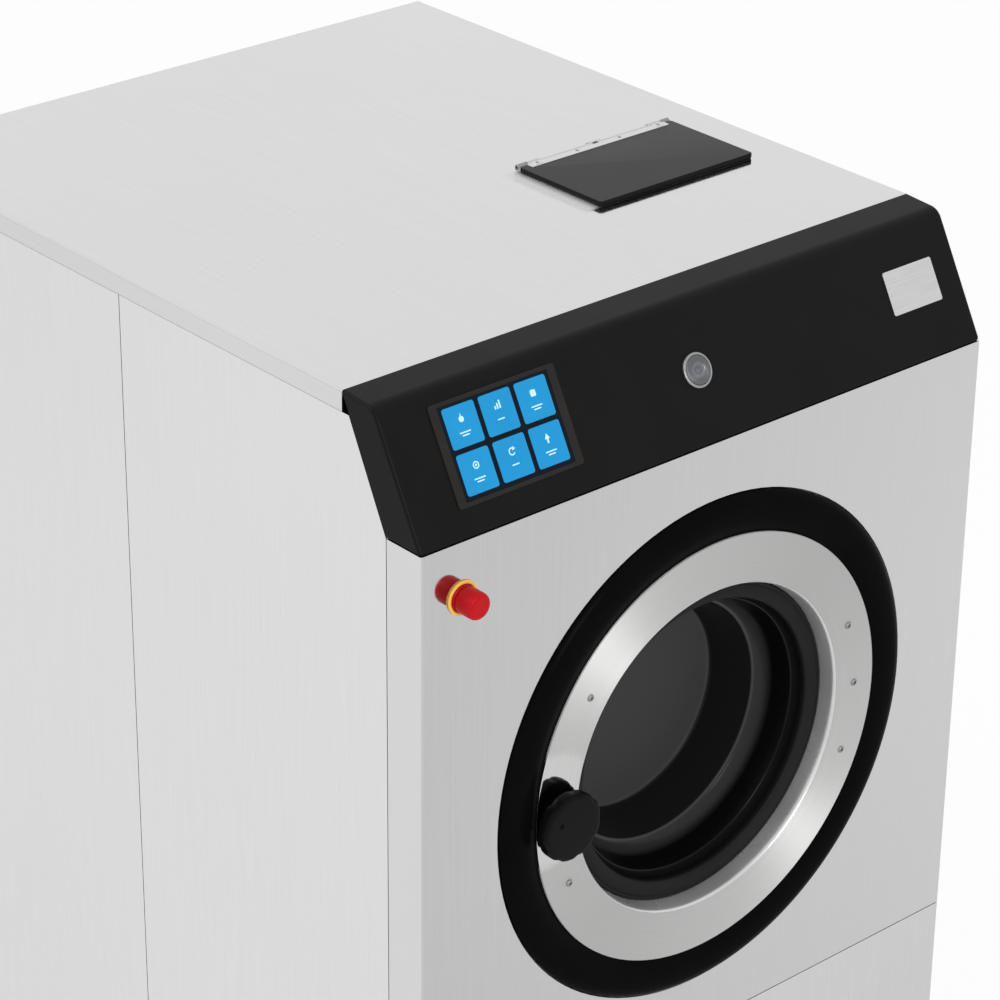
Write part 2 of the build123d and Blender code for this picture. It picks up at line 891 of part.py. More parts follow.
def door_frame():
    """The cast ring that carries the steel ring, gasket, hinge leaf and knob spindle."""
    front = -ring_proud + ring_sheet + slip
    step = front + bezel_wall
    step_radius = bezel_flange_inner_radius - slip
    collar_outer = frame_inner_radius + slip
    collar_inner = collar_outer - frame_collar_thickness
    outline = (
        (frame_inner_radius, front),
        (step_radius, front),
        (step_radius, step),
        (frame_outer_radius, step),
        (frame_outer_radius, frame_back_depth),
        (collar_outer, frame_back_depth),
        (collar_outer, frame_collar_depth),
        (collar_inner, frame_collar_depth),
        (collar_inner, frame_back_depth - frame_collar_thickness / 2),
        (frame_inner_radius, frame_back_depth - frame_collar_thickness / 2),
    )
    frame = turned(outline)
    for angle in ring_screw_angles:
        x, z = ring_place(angle)
        frame = frame - rod(ring_screw_shank_radius + slip, (front - overrun, ring_screw_length), x, z)
    x, z = ring_place(180)
    return frame - rod(spindle_radius + running, (front - overrun, frame_back_depth + overrun), x, z)


def door_gasket():
    """The grey rubber flange between the frame's collar and the bowl."""
    outer = frame_inner_radius - frame_collar_thickness
    outline = (
        (gasket_inner_radius, gasket_front),
        (outer, gasket_front),
        (outer, gasket_back),
        (gasket_inner_radius, gasket_back),
    )
    return turned(outline, radii_for(outline, {0: gasket_edge}))


def door_glass():
    """The glass bowl that reaches into the drum."""
    rim = gasket_back + slip
    back = rim + bowl_flange_thickness
    step_start = bowl_step_depth - bowl_wall
    outline = (
        (bowl_mouth_radius, rim),
        (bowl_shoulder_radius, bowl_shoulder_depth),
        (bowl_step_outer_radius, step_start),
        (bowl_step_radius, bowl_step_depth),
        (bowl_floor_radius, bowl_depth),
        (0, bowl_depth),
        (0, bowl_depth + bowl_wall),
        (bowl_floor_radius + bowl_wall / 2, bowl_depth + bowl_wall),
        (bowl_step_radius + bowl_wall, bowl_step_depth + bowl_wall),
        (bowl_step_outer_radius + bowl_wall, step_start + bowl_wall),
        (bowl_shoulder_radius + bowl_wall, bowl_shoulder_depth),
        (bowl_mouth_radius + bowl_wall, back),
        (bowl_flange_radius, back),
        (bowl_flange_radius, rim),
    )
    rounded = {1: bowl_corner_radius, 4: bowl_corner_radius, 7: bowl_corner_radius}
    return turned(outline, radii_for(outline, rounded))


def door_screws():
    """The small domed screws in the steel ring."""
    screws = []
    for angle in ring_screw_angles:
        x, z = ring_place(angle)
        face = -ring_proud
        head = rod(ring_screw_head_radius, (face - ring_screw_head_height, face), x, z)
        head = fillet(head.edges().sort_by(Axis.Y)[0], ring_screw_head_height * dome_share)
        shank_end = face + ring_screw_length
        screws.append(head + rod(ring_screw_shank_radius, (face, shank_end), x, z))
    return Compound(screws)


def handle_knob():
    """The round knob on a neck, with shallow grip flutes and a small sunk dot."""
    x, z = ring_place(180)
    back = -knob_proud + knob_thickness
    disc = rod(knob_radius, (-knob_proud, back), x, z)
    for number in range(knob_flutes):
        turn = math.radians(360 * number / knob_flutes)
        reach = knob_radius + knob_flute_radius - knob_flute_depth
        place = (x + reach * math.cos(turn), z + reach * math.sin(turn))
        disc = disc - rod(knob_flute_radius, (-knob_proud - overrun, back + overrun), *place)
    front_rim = disc.faces().sort_by(Axis.Y)[0].edges()
    disc = fillet(front_rim, knob_edge_radius)
    neck = rod(knob_neck_radius, (back, -ring_proud - fit), x, z)
    bore = rod(spindle_radius + running, (-knob_proud + spindle_seat, -ring_proud), x, z)
    dot_span = (-knob_proud - overrun, knob_dot_depth - knob_proud)
    dot = rod(knob_dot_radius, dot_span, x - knob_dot_x, z + knob_dot_z)
    return disc + neck - bore - dot


def cam_front():
    """How deep the latch cam's front face lies when it is behind the striker."""
    return frame_back_depth + cam_gap


def latch_spindle():
    """The steel spindle through the door, with the latch cam on its inner end."""
    x, z = ring_place(180)
    back = cam_front() + cam_thickness
    spindle = rod(spindle_radius, (spindle_seat - knob_proud, back + cam_gap), x, z)
    cam = depth_box(
        (x - cam_half_width, x + cam_half_width), (cam_front(), back), (z - cam_half_width, z + cam_length)
    )
    cam = fillet(cam.edges().filter_by(Axis.Y), cam_half_width / 2)
    return spindle + cam


def door_lock():
    """The lock's case in the recess, with the striker lip that the cam turns behind."""
    outer = recess_radius - sheet - lock_wall_gap
    inner = outer - lock_width
    z_span = (door_height - lock_half_height, door_height + lock_half_height)
    lip_back = cam_front() - striker_gap
    lip_front = lip_back - striker_lip_thickness
    case = depth_box((-outer, -inner), (lip_front, recess_floor), z_span)
    lip_span = (door_height - striker_lip_half_height, door_height + striker_lip_half_height)
    lip = depth_box((-inner, striker_lip_reach - inner), (lip_front, lip_back), lip_span)
    return case + lip


def hinge_leaf():
    """The leaf behind the door's frame, with two arms out to the hidden pin."""
    back = frame_back_depth + leaf_thickness
    axis_depth = -hinge_proud
    leaf_end = leaf_inner_radius + leaf_plate_width
    z_low = door_height - leaf_half_height
    plate = depth_box(
        (leaf_inner_radius, leaf_end),
        (frame_back_depth, back),
        (z_low, z_low + 2 * leaf_half_height),
    )
    body = plate
    outline = (
        (leaf_end - leaf_thickness, frame_back_depth),
        (leaf_end - leaf_thickness, back),
        (hinge_x - leaf_heel, back),
        (hinge_x + knuckle_radius / 2, axis_depth + knuckle_radius * knuckle_blend_share),
        (hinge_x - knuckle_radius, axis_depth - knuckle_radius / 4),
        (hinge_x - leaf_heel - leaf_thickness, frame_back_depth),
    )
    for side in (-1, 1):
        near, far = sorted((side * moving_knuckle_inner, side * moving_knuckle_outer))
        z_span = (door_height + near, door_height + far)
        body = body + top_profile(outline, z_span)
        body = body + pillar(knuckle_radius, z_span, hinge_x, axis_depth)
    bore = pillar(
        hinge_pin_radius + running,
        (door_height - 2 * moving_knuckle_outer, door_height + 2 * moving_knuckle_outer),
        hinge_x,
        axis_depth,
    )
    return body - bore


def hinge_bracket():
    """The fixed bracket in the recess, whose neck leans back from the pin."""
    axis_depth = -hinge_proud
    base = recess_floor - bracket_plate_thickness
    side = bracket_neck / 2 / math.sqrt(2)
    run = base - axis_depth + side
    z_span = (door_height - fixed_knuckle_half_length, door_height + fixed_knuckle_half_length)
    outline = (
        (hinge_x + side, axis_depth + side),
        (hinge_x - side, axis_depth - side),
        (hinge_x - side - run - side, base + side),
        (hinge_x + side - run + side, base + side),
    )
    neck = top_profile(outline, z_span)
    knuckle = pillar(knuckle_radius, z_span, hinge_x, axis_depth)
    plate_start = hinge_x - run - bracket_plate_width / 4
    plate = depth_box(
        (plate_start, plate_start + bracket_plate_width),
        (base, recess_floor),
        (door_height - moving_knuckle_outer, door_height + moving_knuckle_outer),
    )
    bore = pillar(
        hinge_pin_radius + running,
        (door_height - 2 * moving_knuckle_outer, door_height + 2 * moving_knuckle_outer),
        hinge_x,
        axis_depth,
    )
    return plate + neck + knuckle - bore


def hinge_pin():
    """The door's hinge pin."""
    reach = moving_knuckle_outer + hinge_pin_overhang
    return pillar(hinge_pin_radius, (door_height - reach, door_height + reach), hinge_x, -hinge_proud)


def door_recess():
    """The pan behind the front panel that the door closes into."""
    inner = recess_radius - sheet
    hole = seal_outer_radius + fit
    outline = (
        (hole, recess_floor),
        (inner, recess_floor),
        (inner, sheet),
        (recess_radius, sheet),
        (recess_radius, recess_floor + sheet),
        (hole, recess_floor + sheet),
    )
    return turned(outline)


def tub_seal():
    """The rubber ring round the tub's mouth that the door's gasket presses on."""
    outline = (
        (seal_inner_radius, seal_front),
        (seal_outer_radius, seal_front),
        (seal_outer_radius, seal_back),
        (seal_inner_radius, seal_back),
    )
    return turned(outline, radii_for(outline, {0: seal_edge, 1: seal_edge}))


def tub_front_plate():
    """The tub's front, with the collar of its mouth."""
    outline = (
        (mouth_radius, seal_back),
        (mouth_radius + mouth_wall, seal_back),
        (mouth_radius + mouth_wall, tub_front),
        (tub_radius, tub_front),
        (tub_radius, tub_front + tub_plate),
        (mouth_radius, tub_front + tub_plate),
    )
    return turned(outline)


def tub_shell():
    """The tub's round wall."""
    outline = (
        (tub_radius - tub_wall, tub_front + tub_plate),
        (tub_radius, tub_front + tub_plate),
        (tub_radius, tub_back),
        (tub_radius - tub_wall, tub_back),
    )
    return turned(outline)


def tub_back_plate():
    """The tub's back, with the shaft's hole."""
    hole = shaft_radius + shaft_hole_clearance
    plate = rod(tub_radius, (tub_back, tub_back + tub_plate))
    return plate - rod(hole, (tub_back - overrun, housing_front + overrun))


def tub_cradles():
    """Two saddle plates that carry the tub on the base frame."""
    plates = []
    half = tub_radius * cradle_half_width_share
    top = door_height - tub_radius * cradle_top_share
    for middle in cradle_depths():
        span = (middle - cradle_thickness / 2, middle + cradle_thickness / 2)
        cut = (span[0] - overrun, span[1] + overrun)
        plate = depth_box((-half, half), span, (base_height, top)) - rod(tub_radius + slip, cut)
        plates.append(plate - rod(drain_flange_radius + fit, cut, drain_x, drain_height))
    return Compound(plates)


def drum_front_ring():
    """The drum's front, its mouth rolled forward."""
    outline = (
        (drum_mouth_radius, drum_front - drum_lip_depth),
        (drum_mouth_radius + drum_wall, drum_front - drum_lip_depth),
        (drum_mouth_radius + drum_wall, drum_front),
        (drum_radius, drum_front),
        (drum_radius, drum_front + drum_wall),
        (drum_mouth_radius, drum_front + drum_wall),
    )
    return turned(outline)


def drum_shell():
    """The drum's round wall."""
    outline = (
        (drum_inner_radius, drum_front + drum_wall),
        (drum_radius, drum_front + drum_wall),
        (drum_radius, drum_back),
        (drum_inner_radius, drum_back),
    )
    return turned(outline)


def drum_back_plate():
    """The drum's back, with the spider's arms and hub."""
    face = drum_back + drum_plate
    body = rod(drum_radius, (drum_back, face))
    body = body + rod(spider_hub_radius, (face, face + spider_hub_depth))
    reach = drum_radius - spider_arm_width / 2
    for number in range(lifters):
        arm = Pos(reach / 2, 0, 0) * Box(reach, spider_arm_depth, spider_arm_width)
        middle = front_y + face + spider_arm_depth / 2
        body = body + Pos(0, middle, door_height) * Rot(0, lifter_angle(number), 0) * arm
    seat = face + spider_hub_depth - shaft_seat
    return body - rod(shaft_radius + slip, (seat, face + spider_hub_depth + overrun))


def lifter_angle(number):
    """Where a lifter, and the spider arm behind it, sits round the drum."""
    return 360 * number / lifters + 90


def drum_lifters():
    """The ribs inside the drum that lift the wash."""
    bars = []
    start = drum_front + drum_wall + lifter_end_gap
    end = drum_back - lifter_end_gap
    shell_bore = rod(drum_inner_radius - slip, (start - overrun, end + overrun))
    for number in range(lifters):
        bar = lifter_prism(number, 0, (start, end)) & shell_bore
        bar = bar - lifter_prism(number, lifter_wall, (start + lifter_wall, end - lifter_wall))
        bars.append(bar.solid())
    return Compound(bars)


def lifter_prism(number, inset, depth_span):
    """A lifter's tapered section, drawn in from its outer faces, run along the drum."""
    inner = drum_inner_radius - lifter_height + inset
    outline = (
        (inner, inset - lifter_top / 2),
        (drum_radius, inset - lifter_base / 2),
        (drum_radius, lifter_base / 2 - inset),
        (inner, lifter_top / 2 - inset),
    )
    length = depth_span[1] - depth_span[0]
    bar = extrude(Plane.XZ * make_face(Polyline(*outline, close=True)), length)
    return Pos(0, front_y + depth_span[1], door_height) * Rot(0, lifter_angle(number), 0) * bar


def drum_shaft():
    """The drum's shaft, from the spider's hub to the pulley."""
    start = drum_back + drum_plate + spider_hub_depth - shaft_seat
    return rod(shaft_radius, (start, pulley_back + shaft_overhang))


def bearing_spans():
    """The depths of the two bearings."""
    first = housing_front + housing_front_lip
    second = housing_back - bearing_edge_inset
    return (first, first + bearing_width), (second - bearing_width, second)


def bearings():
    """The shaft's two bearings."""
    rings = []
    for start, end in bearing_spans():
        bore = rod(shaft_radius + running, (start - overrun, end + overrun))
        rings.append(rod(bearing_radius, (start, end)) - bore)
    return Compound(rings)


def bearing_housing():
    """The cast housing bolted to the tub's back."""
    body = rod(housing_radius, (housing_front, housing_back))
    body = body + rod(housing_flange_radius, (housing_front, housing_front + housing_flange))
    hole = shaft_radius + shaft_hole_clearance
    body = body - rod(hole, (housing_front - overrun, housing_front + housing_front_lip))
    return body - rod(bearing_radius + slip, (housing_front + housing_front_lip, housing_back + overrun))


def drum_pulley():
    """The large pulley with lightening holes in its web."""
    wheel = rod(drum_pulley_radius, (pulley_front, pulley_back))
    rim_inner = drum_pulley_radius - pulley_rim
    web_front = (pulley_front + pulley_back - pulley_web) / 2
    web_back = web_front + pulley_web
    wheel = wheel - rod(rim_inner, (pulley_front - overrun, web_front))
    wheel = wheel - rod(rim_inner, (web_back, pulley_back + overrun))
    wheel = wheel + rod(pulley_hub_radius, (pulley_front, pulley_back))
    reach = (rim_inner + pulley_hub_radius) / 2
    for number in range(pulley_web_holes):
        x, z = ring_place(360 * number / pulley_web_holes, reach)
        wheel = wheel - rod(pulley_hole_radius, (web_front - overrun, web_back + overrun), x, z)
    return wheel - rod(shaft_radius + slip, (pulley_front - overrun, pulley_back + overrun))


def motor_pulley():
    """The small pulley with the motor's shaft."""
    wheel = rod(motor_pulley_radius, (pulley_front, pulley_back), motor_x, motor_height)
    start = motor_back - motor_shaft_seat
    return wheel + rod(motor_shaft_radius, (start, pulley_front), motor_x, motor_height)


def motor_body():
    """The motor on its foot, with a terminal box."""
    start = motor_back - motor_length
    body = rod(motor_radius, (start, motor_back), motor_x, motor_height)
    rims = body.edges().filter_by(GeomType.CIRCLE)
    body = fillet(rims, motor_foot_plate)
    half = motor_foot_width / 2
    plate = depth_box(
        (motor_x - half, motor_x + half), (start, motor_back), (base_height, base_height + motor_foot_plate)
    )
    body = body + plate
    for side in (-1, 1):
        x = motor_x + side * half * motor_foot_spread_share
        body = body + depth_box(
            (x - motor_foot_web / 2, x + motor_foot_web / 2),
            (start, motor_back),
            (base_height, motor_height),
        )
    top = motor_height + motor_radius
    middle = (start + motor_back) / 2
    half_box = motor_box_size / 2
    body = body + depth_box(
        (motor_x - half_box, motor_x + half_box),
        (middle - half_box, middle + half_box),
        (motor_height, top + motor_box_height),
    )
    bore = rod(
        motor_shaft_radius + running,
        (motor_back - motor_shaft_seat - overrun, motor_back + overrun),
        motor_x,
        motor_height,
    )
    return body - bore


def belt_loop(gap):
    """The closed outline round both pulleys at a gap from their rims."""
    large = drum_pulley_radius + gap
    small = motor_pulley_radius + gap
    across = motor_x
    down = motor_height - door_height
    distance = math.hypot(across, down)
    along = math.atan2(down, across)
    lean = math.acos((large - small) / distance)
    corners = []
    for turn in (along + lean, along - lean):
        corners.append((large * math.cos(turn), large * math.sin(turn)))
        corners.append((across + small * math.cos(turn), down + small * math.sin(turn)))
    first_large, first_small, second_large, second_small = corners
    band = make_face(Polyline(first_large, first_small, second_small, second_large, close=True))
    return Circle(large) + Pos(across, down) * Circle(small) + band


def drive_belt():
    """The belt, a closed band just off both pulleys."""
    loop = belt_loop(fit + belt_thickness) - belt_loop(fit)
    band = extrude(Plane.XZ * loop, belt_width)
    middle = (pulley_front + pulley_back) / 2
    return Pos(0, front_y + middle + belt_width / 2, door_height) * band


def drain_valve():
    """The sump pipe, valve body and outlet pipe."""
    half = drain_body_size / 2
    body = depth_box(
        (drain_x - half, drain_x + half),
        (drain_tub_depth - half, drain_tub_depth + half),
        (drain_height - half, drain_height + half),
    )
    body = body + pillar(drain_radius, (drain_height, door_height), drain_x, drain_tub_depth)
    clear = rod(tub_radius + slip, (tub_front, tub_back))
    body = body - clear
    end = cabinet_depth + rear_reach
    pipe_radius = drain_radius + drain_wall
    body = body + rod(pipe_radius, (drain_tub_depth, cabinet_depth), drain_x, drain_height)
    body = body + rod(drain_radius, (cabinet_depth, end), drain_x, drain_height)
    flange_start = cabinet_depth - sheet - drain_flange
    body = body + rod(drain_flange_radius, (flange_start, cabinet_depth - sheet), drain_x, drain_height)
    bore = rod(drain_radius - drain_wall, (drain_tub_depth + half, end + overrun), drain_x, drain_height)
    return body - bore


def hopper_box():
    """The soap hopper: a rim on the top cover, walls, two dividers and an outlet."""
    rim_x, rim_y = hopper_sides(hopper_rim_inset)
    wall_x, wall_y = hopper_sides(hopper_rim_inset + hopper_flange)
    top = cabinet_height + hopper_flange_thickness
    floor = cabinet_height - hopper_depth
    body = depth_box(rim_x, rim_y, (cabinet_height, top)) + depth_box(wall_x, wall_y, (floor, top))
    width = wall_x[1] - wall_x[0] - 2 * hopper_wall
    cell = (width - hopper_dividers * hopper_wall) / (hopper_dividers + 1)
    cell_y = (wall_y[0] + hopper_wall, wall_y[1] - hopper_wall)
    for number in range(hopper_dividers + 1):
        start = wall_x[0] + hopper_wall + number * (cell + hopper_wall)
        body = body - depth_box((start, start + cell), cell_y, (floor + hopper_wall, top + overrun))
    middle = (wall_y[0] + wall_y[1]) / 2
    outlet_x = hopper_x + hopper_outlet_x
    outlet = pillar(hopper_outlet_radius, (floor - hopper_outlet_length, floor), outlet_x, middle)
    hole = pillar(
        hopper_outlet_radius - hopper_wall,
        (floor - hopper_outlet_length - overrun, floor + hopper_wall + overrun),
        outlet_x,
        middle,
    )
    return body + outlet - hole


def hopper_hose():
    """The hose from the hopper's outlet down to the tub."""
    middle = (hopper_front_depth + hopper_back_depth) / 2
    x = hopper_x + hopper_outlet_x
    bore = hopper_outlet_radius + slip
    top = cabinet_height - hopper_depth - hopper_wall
    outer = pillar(bore + hose_wall, (door_height, top), x, middle)
    hose = outer - pillar(bore, (door_height - overrun, top + overrun), x, middle)
    return hose - rod(tub_radius + slip, (tub_front, tub_back))


def hopper_hinge():
    """The strip screwed to the top cover, with three short knuckles."""
    start = hopper_back_depth + fit
    strip = depth_box(
        hopper_sides(hopper_rim_inset)[0],
        (start, start + hopper_leaf_depth),
        (cabinet_height, cabinet_height + hopper_leaf_thickness),
    )
    reach = hopper_knuckle_spacing
    for x in (hopper_x - reach, hopper_x, hopper_x + reach):
        x_span = (x - hopper_knuckle_length / 2, x + hopper_knuckle_length / 2)
        strip = strip + cross_rod(hopper_knuckle_radius, x_span)
        strip = strip + depth_box(
            x_span,
            (hopper_axis_depth - hopper_web / 2, hopper_axis_depth + hopper_web),
            (cabinet_height, hopper_axis_height),
        )
    return strip - cross_rod(hopper_pin_radius + running, hopper_sides(0)[0])


def cross_rod(radius, x_span):
    """A round bar along X on the hopper lid's axis."""
    middle = (x_span[0] + x_span[1]) / 2
    place = Pos(middle, front_y + hopper_axis_depth, hopper_axis_height)
    return place * Rot(0, 90, 0) * Cylinder(radius, x_span[1] - x_span[0])


def hopper_hinge_pin():
    """The pin of the hopper lid."""
    reach = hopper_knuckle_spacing + hopper_knuckle_length
    return cross_rod(hopper_pin_radius, (hopper_x - reach, hopper_x + reach))


def lid_wedge(inset, low):
    """The lid's outer form, drawn in by an inset at its sides and top."""
    x_span, (front, back) = hopper_sides(inset)
    outline = (
        (front, low),
        (front, lid_base + hopper_lid_front - inset),
        (back, lid_base + hopper_lid_back - inset),
        (back, low),
    )
    return side_profile(outline, x_span)


def hopper_lid():
    """The dark lid, a shallow shell higher at its front, with a knuckle at each end of its back."""
    lid = lid_wedge(0, lid_base)
    lid = fillet(lid.edges().filter_by(Axis.Z), hopper_lid_corner)
    lid = fillet(lid.faces().sort_by(Axis.Z)[-1].edges(), hopper_lid_edge)
    lid = lid - lid_wedge(hopper_lid_wall, lid_base - overrun)
    reach = hopper_knuckle_spacing + fit + (hopper_knuckle_length + hopper_lid_knuckle_length) / 2
    for x in (hopper_x - reach, hopper_x + reach):
        span = (x - hopper_lid_knuckle_length / 2, x + hopper_lid_knuckle_length / 2)
        lid = lid + cross_rod(hopper_knuckle_radius, span)
        lid = lid + depth_box(
            span,
            (hopper_back_depth - hopper_lid_wall / 2, hopper_axis_depth),
            (hopper_axis_height - hopper_web / 2, hopper_axis_height + hopper_web / 2),
        )
    return lid - cross_rod(hopper_pin_radius + running, hopper_sides(0)[0])


def control_box():
    """The electronics case hung under the top cover."""
    start = control_left_inset - half_width
    box = depth_box(
        (start, start + control_width),
        (control_front_depth, control_front_depth + control_depth),
        (cabinet_height - sheet - control_height, cabinet_height - sheet),
    )
    return fillet(box.edges().filter_by(Axis.Z), control_corner_radius)


def valve_places():
    """The x of each water inlet."""
    first = half_width - valve_right_inset
    return [first - number * valve_pitch for number in range(valves)]


def inlet_valves():
    """The water inlet valves, each with its threaded spigot through the back."""
    units = []
    z = cabinet_height - valve_drop
    wall = cabinet_depth - sheet
    for x in valve_places():
        body = depth_box(
            (x - valve_body_width / 2, x + valve_body_width / 2),
            (wall - valve_nut - valve_body_depth, wall - valve_nut),
            (z - valve_body_height / 2, z + valve_body_height / 2),
        )
        body = body + rod(valve_nut_radius, (wall - valve_nut, wall), x, z)
        body = body + rod(valve_collar_radius, (wall, cabinet_depth), x, z)
        body = body + rod(valve_thread_radius, (cabinet_depth, cabinet_depth + valve_thread_length), x, z)
        bore = (wall - valve_nut, cabinet_depth + valve_thread_length + overrun)
        units.append(body - rod(valve_bore_radius, bore, x, z))
    return Compound(units)


def vent_spigot():
    """The vent pipe's stub through the back."""
    z = cabinet_height - vent_drop
    wall = cabinet_depth - sheet
    body = rod(vent_radius + vent_wall, (wall - vent_inner_length, cabinet_depth), vent_x, z)
    body = body + rod(vent_radius, (cabinet_depth, cabinet_depth + vent_length), vent_x, z)
    body = body + rod(vent_flange_radius, (wall - vent_flange, wall), vent_x, z)
    bore = (wall - vent_inner_length - overrun, cabinet_depth + vent_length + overrun)
    return body - rod(vent_radius - vent_wall, bore, vent_x, z)


def cable_gland():
    """The gland for the supply cable."""
    z = cabinet_height - gland_drop
    wall = cabinet_depth - sheet
    body = rod(gland_radius, (wall - gland_nut, cabinet_depth + gland_length), gland_x, z)
    for start in (wall - gland_nut, cabinet_depth):
        nut = Pos(gland_x, front_y + start + gland_nut, z) * Rot(90, 0, 0)
        body = body + nut * extrude(RegularPolygon(gland_nut_radius, 6), gland_nut)
    bore = (wall - gland_nut - overrun, cabinet_depth + gland_length + overrun)
    return body - rod(gland_bore_radius, bore, gland_x, z)


nodes = {
    "base_frame": base_frame(),
    "front_panel": front_panel(),
    "service_panel": service_panel(),
    "left_front_side": front_side_panel(-1),
    "left_rear_side": rear_side_panel(-1),
    "right_front_side": front_side_panel(1),
    "right_rear_side": rear_side_panel(1),
    "rear_panel": rear_panel(),
    "rear_cover": rear_cover(),
    "panel_screws": panel_screws(),
    "top_cover": top_cover(),
    "fascia_housing": fascia_housing(),
    "fascia_backplate": fascia_backplate(),
    "display_bezel": display_bezel(),
    "display_glass": display_glass(),
    "button_collar": button_collar(),
    "start_button": start_button(),
    "badge_plate": badge_plate(),
    "estop_collar": estop_collar(),
    "estop_head": estop_head(),
    "door_bezel": door_bezel(),
    "door_ring": door_ring(),
    "door_frame": door_frame(),
    "door_gasket": door_gasket(),
    "door_glass": door_glass(),
    "door_screws": door_screws(),
    "handle_knob": handle_knob(),
    "latch_spindle": latch_spindle(),
    "door_lock": door_lock(),
    "hinge_leaf": hinge_leaf(),
    "hinge_bracket": hinge_bracket(),
    "hinge_pin": hinge_pin(),
    "door_recess": door_recess(),
    "tub_seal": tub_seal(),
    "tub_front_plate": tub_front_plate(),
    "tub_shell": tub_shell(),
    "tub_back_plate": tub_back_plate(),
    "tub_cradles": tub_cradles(),
    "drum_front_ring": drum_front_ring(),
    "drum_shell": drum_shell(),
    "drum_back_plate": drum_back_plate(),
    "drum_lifters": drum_lifters(),
    "drum_shaft": drum_shaft(),
    "bearings": bearings(),
    "bearing_housing": bearing_housing(),
    "drum_pulley": drum_pulley(),
    "motor_pulley": motor_pulley(),
    "motor_body": motor_body(),
    "drive_belt": drive_belt(),
    "drain_valve": drain_valve(),
    "hopper_box": hopper_box(),
    "hopper_hose": hopper_hose(),
    "hopper_hinge": hopper_hinge(),
    "hopper_hinge_pin": hopper_hinge_pin(),
    "hopper_lid": hopper_lid(),
    "control_box": control_box(),
    "inlet_valves": inlet_valves(),
    "vent_spigot": vent_spigot(),
    "cable_gland": cable_gland(),
}

os.makedirs("parts", exist_ok=True)
for name, body in nodes.items():
    export_step(body, f"parts/{name}.step")
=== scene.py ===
# Looks for the front-loading washing machine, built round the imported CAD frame.
# Lengths in the dictionaries are millimetres unless a note says otherwise.
import bpy
import math
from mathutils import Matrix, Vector


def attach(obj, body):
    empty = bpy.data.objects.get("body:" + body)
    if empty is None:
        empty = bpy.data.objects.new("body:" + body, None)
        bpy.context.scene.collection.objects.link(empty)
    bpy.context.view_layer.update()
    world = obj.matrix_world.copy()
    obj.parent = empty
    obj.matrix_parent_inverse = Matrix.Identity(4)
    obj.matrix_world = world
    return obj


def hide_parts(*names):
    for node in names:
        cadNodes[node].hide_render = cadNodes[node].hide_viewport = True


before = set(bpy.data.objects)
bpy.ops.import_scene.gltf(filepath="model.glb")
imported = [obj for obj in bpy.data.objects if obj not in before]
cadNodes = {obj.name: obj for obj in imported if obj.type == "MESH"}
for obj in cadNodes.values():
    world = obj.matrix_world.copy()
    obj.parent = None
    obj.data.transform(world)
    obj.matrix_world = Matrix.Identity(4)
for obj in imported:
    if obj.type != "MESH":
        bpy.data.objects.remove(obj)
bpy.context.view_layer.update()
mm = 0.001

# where things are on the cabinet, as the CAD has them
cabinet = {"frontY": -416.5, "backY": 416.5, "doorZ": 751.0}
doorPlace = (0.0, cabinet["frontY"], cabinet["doorZ"])
faceTilt = math.degrees(math.atan2(115.6, 63.0))  # the fascia's slope, turned up from flat
faceMiddle = (0.0, -385.0, 1123.8)


# small helpers
def leaveEdit():
    bpy.ops.object.mode_set(mode="OBJECT")


def selectAll():
    bpy.ops.mesh.select_all(action="SELECT")


def dropSelection():
    if bpy.context.object and bpy.context.object.mode != "OBJECT":
        leaveEdit()
    bpy.ops.object.select_all(action="DESELECT")


def pick(piece):
    dropSelection()
    piece.select_set(True)
    bpy.context.view_layer.objects.active = piece


def named(name):
    # names the active object and its mesh
    piece = bpy.context.object
    piece.name = name
    piece.data.name = name
    return piece


def discard(piece):
    pick(piece)
    bpy.ops.object.delete()


def editMesh(piece):
    pick(piece)
    bpy.ops.object.mode_set(mode="EDIT")
    selectAll()


def pickParts(piece, kind, parts, test):
    # leaves edit mode, selects only the parts that pass, and goes back in
    leaveEdit()
    mesh = piece.data
    for group in (mesh.polygons, mesh.edges, mesh.vertices):
        for part in group:
            part.select = False
    for part in getattr(mesh, parts):
        part.select = bool(test(part))
    bpy.ops.object.mode_set(mode="EDIT")
    bpy.ops.mesh.select_mode(type=kind)


def pickFaces(piece, test):
    pickParts(piece, "FACE", "polygons", lambda face: test(face.center, face.normal))


def pickEdges(piece, test):
    # edges whose two ends both pass
    pickParts(piece, "EDGE", "edges", lambda edge: all(test(piece.data.vertices[i].co) for i in edge.vertices))


def pickVertices(piece, test):
    pickParts(piece, "VERT", "vertices", lambda vertex: test(vertex.co))


def facesUp(centre, normal):
    return normal.z > 0.9


def fromAxis(point):
    return math.hypot(point.x, point.y)


def turnOf(point):
    return math.degrees(math.atan2(point.y, point.x))


def extrudeUp(height):
    bpy.ops.mesh.extrude_region_move(TRANSFORM_OT_translate={"value": (0, 0, height * mm)})


def scaleAcross(x, y, height=0.0):
    # about the local Z axis at a height, in millimetres
    bpy.ops.transform.resize(value=(x, y, 1), center_override=(0, 0, height * mm))


def bakePlace(piece):
    pick(piece)
    bpy.ops.object.transform_apply(location=True, rotation=True, scale=True)


def movedTo(piece, x, y, z=0.0, turn=0.0):
    piece.location = (x * mm, y * mm, z * mm)
    piece.rotation_euler = (0, 0, math.radians(turn))
    bakePlace(piece)
    return piece


def addModifier(piece, kind, **values):
    pick(piece)
    modifier = piece.modifiers.new(kind, kind)
    for key, value in values.items():
        setattr(modifier, key, value)
    bpy.ops.object.modifier_apply(modifier=modifier.name)


def smoothEdges(piece, degrees):
    pick(piece)
    bpy.ops.object.shade_smooth_by_angle(angle=math.radians(degrees))


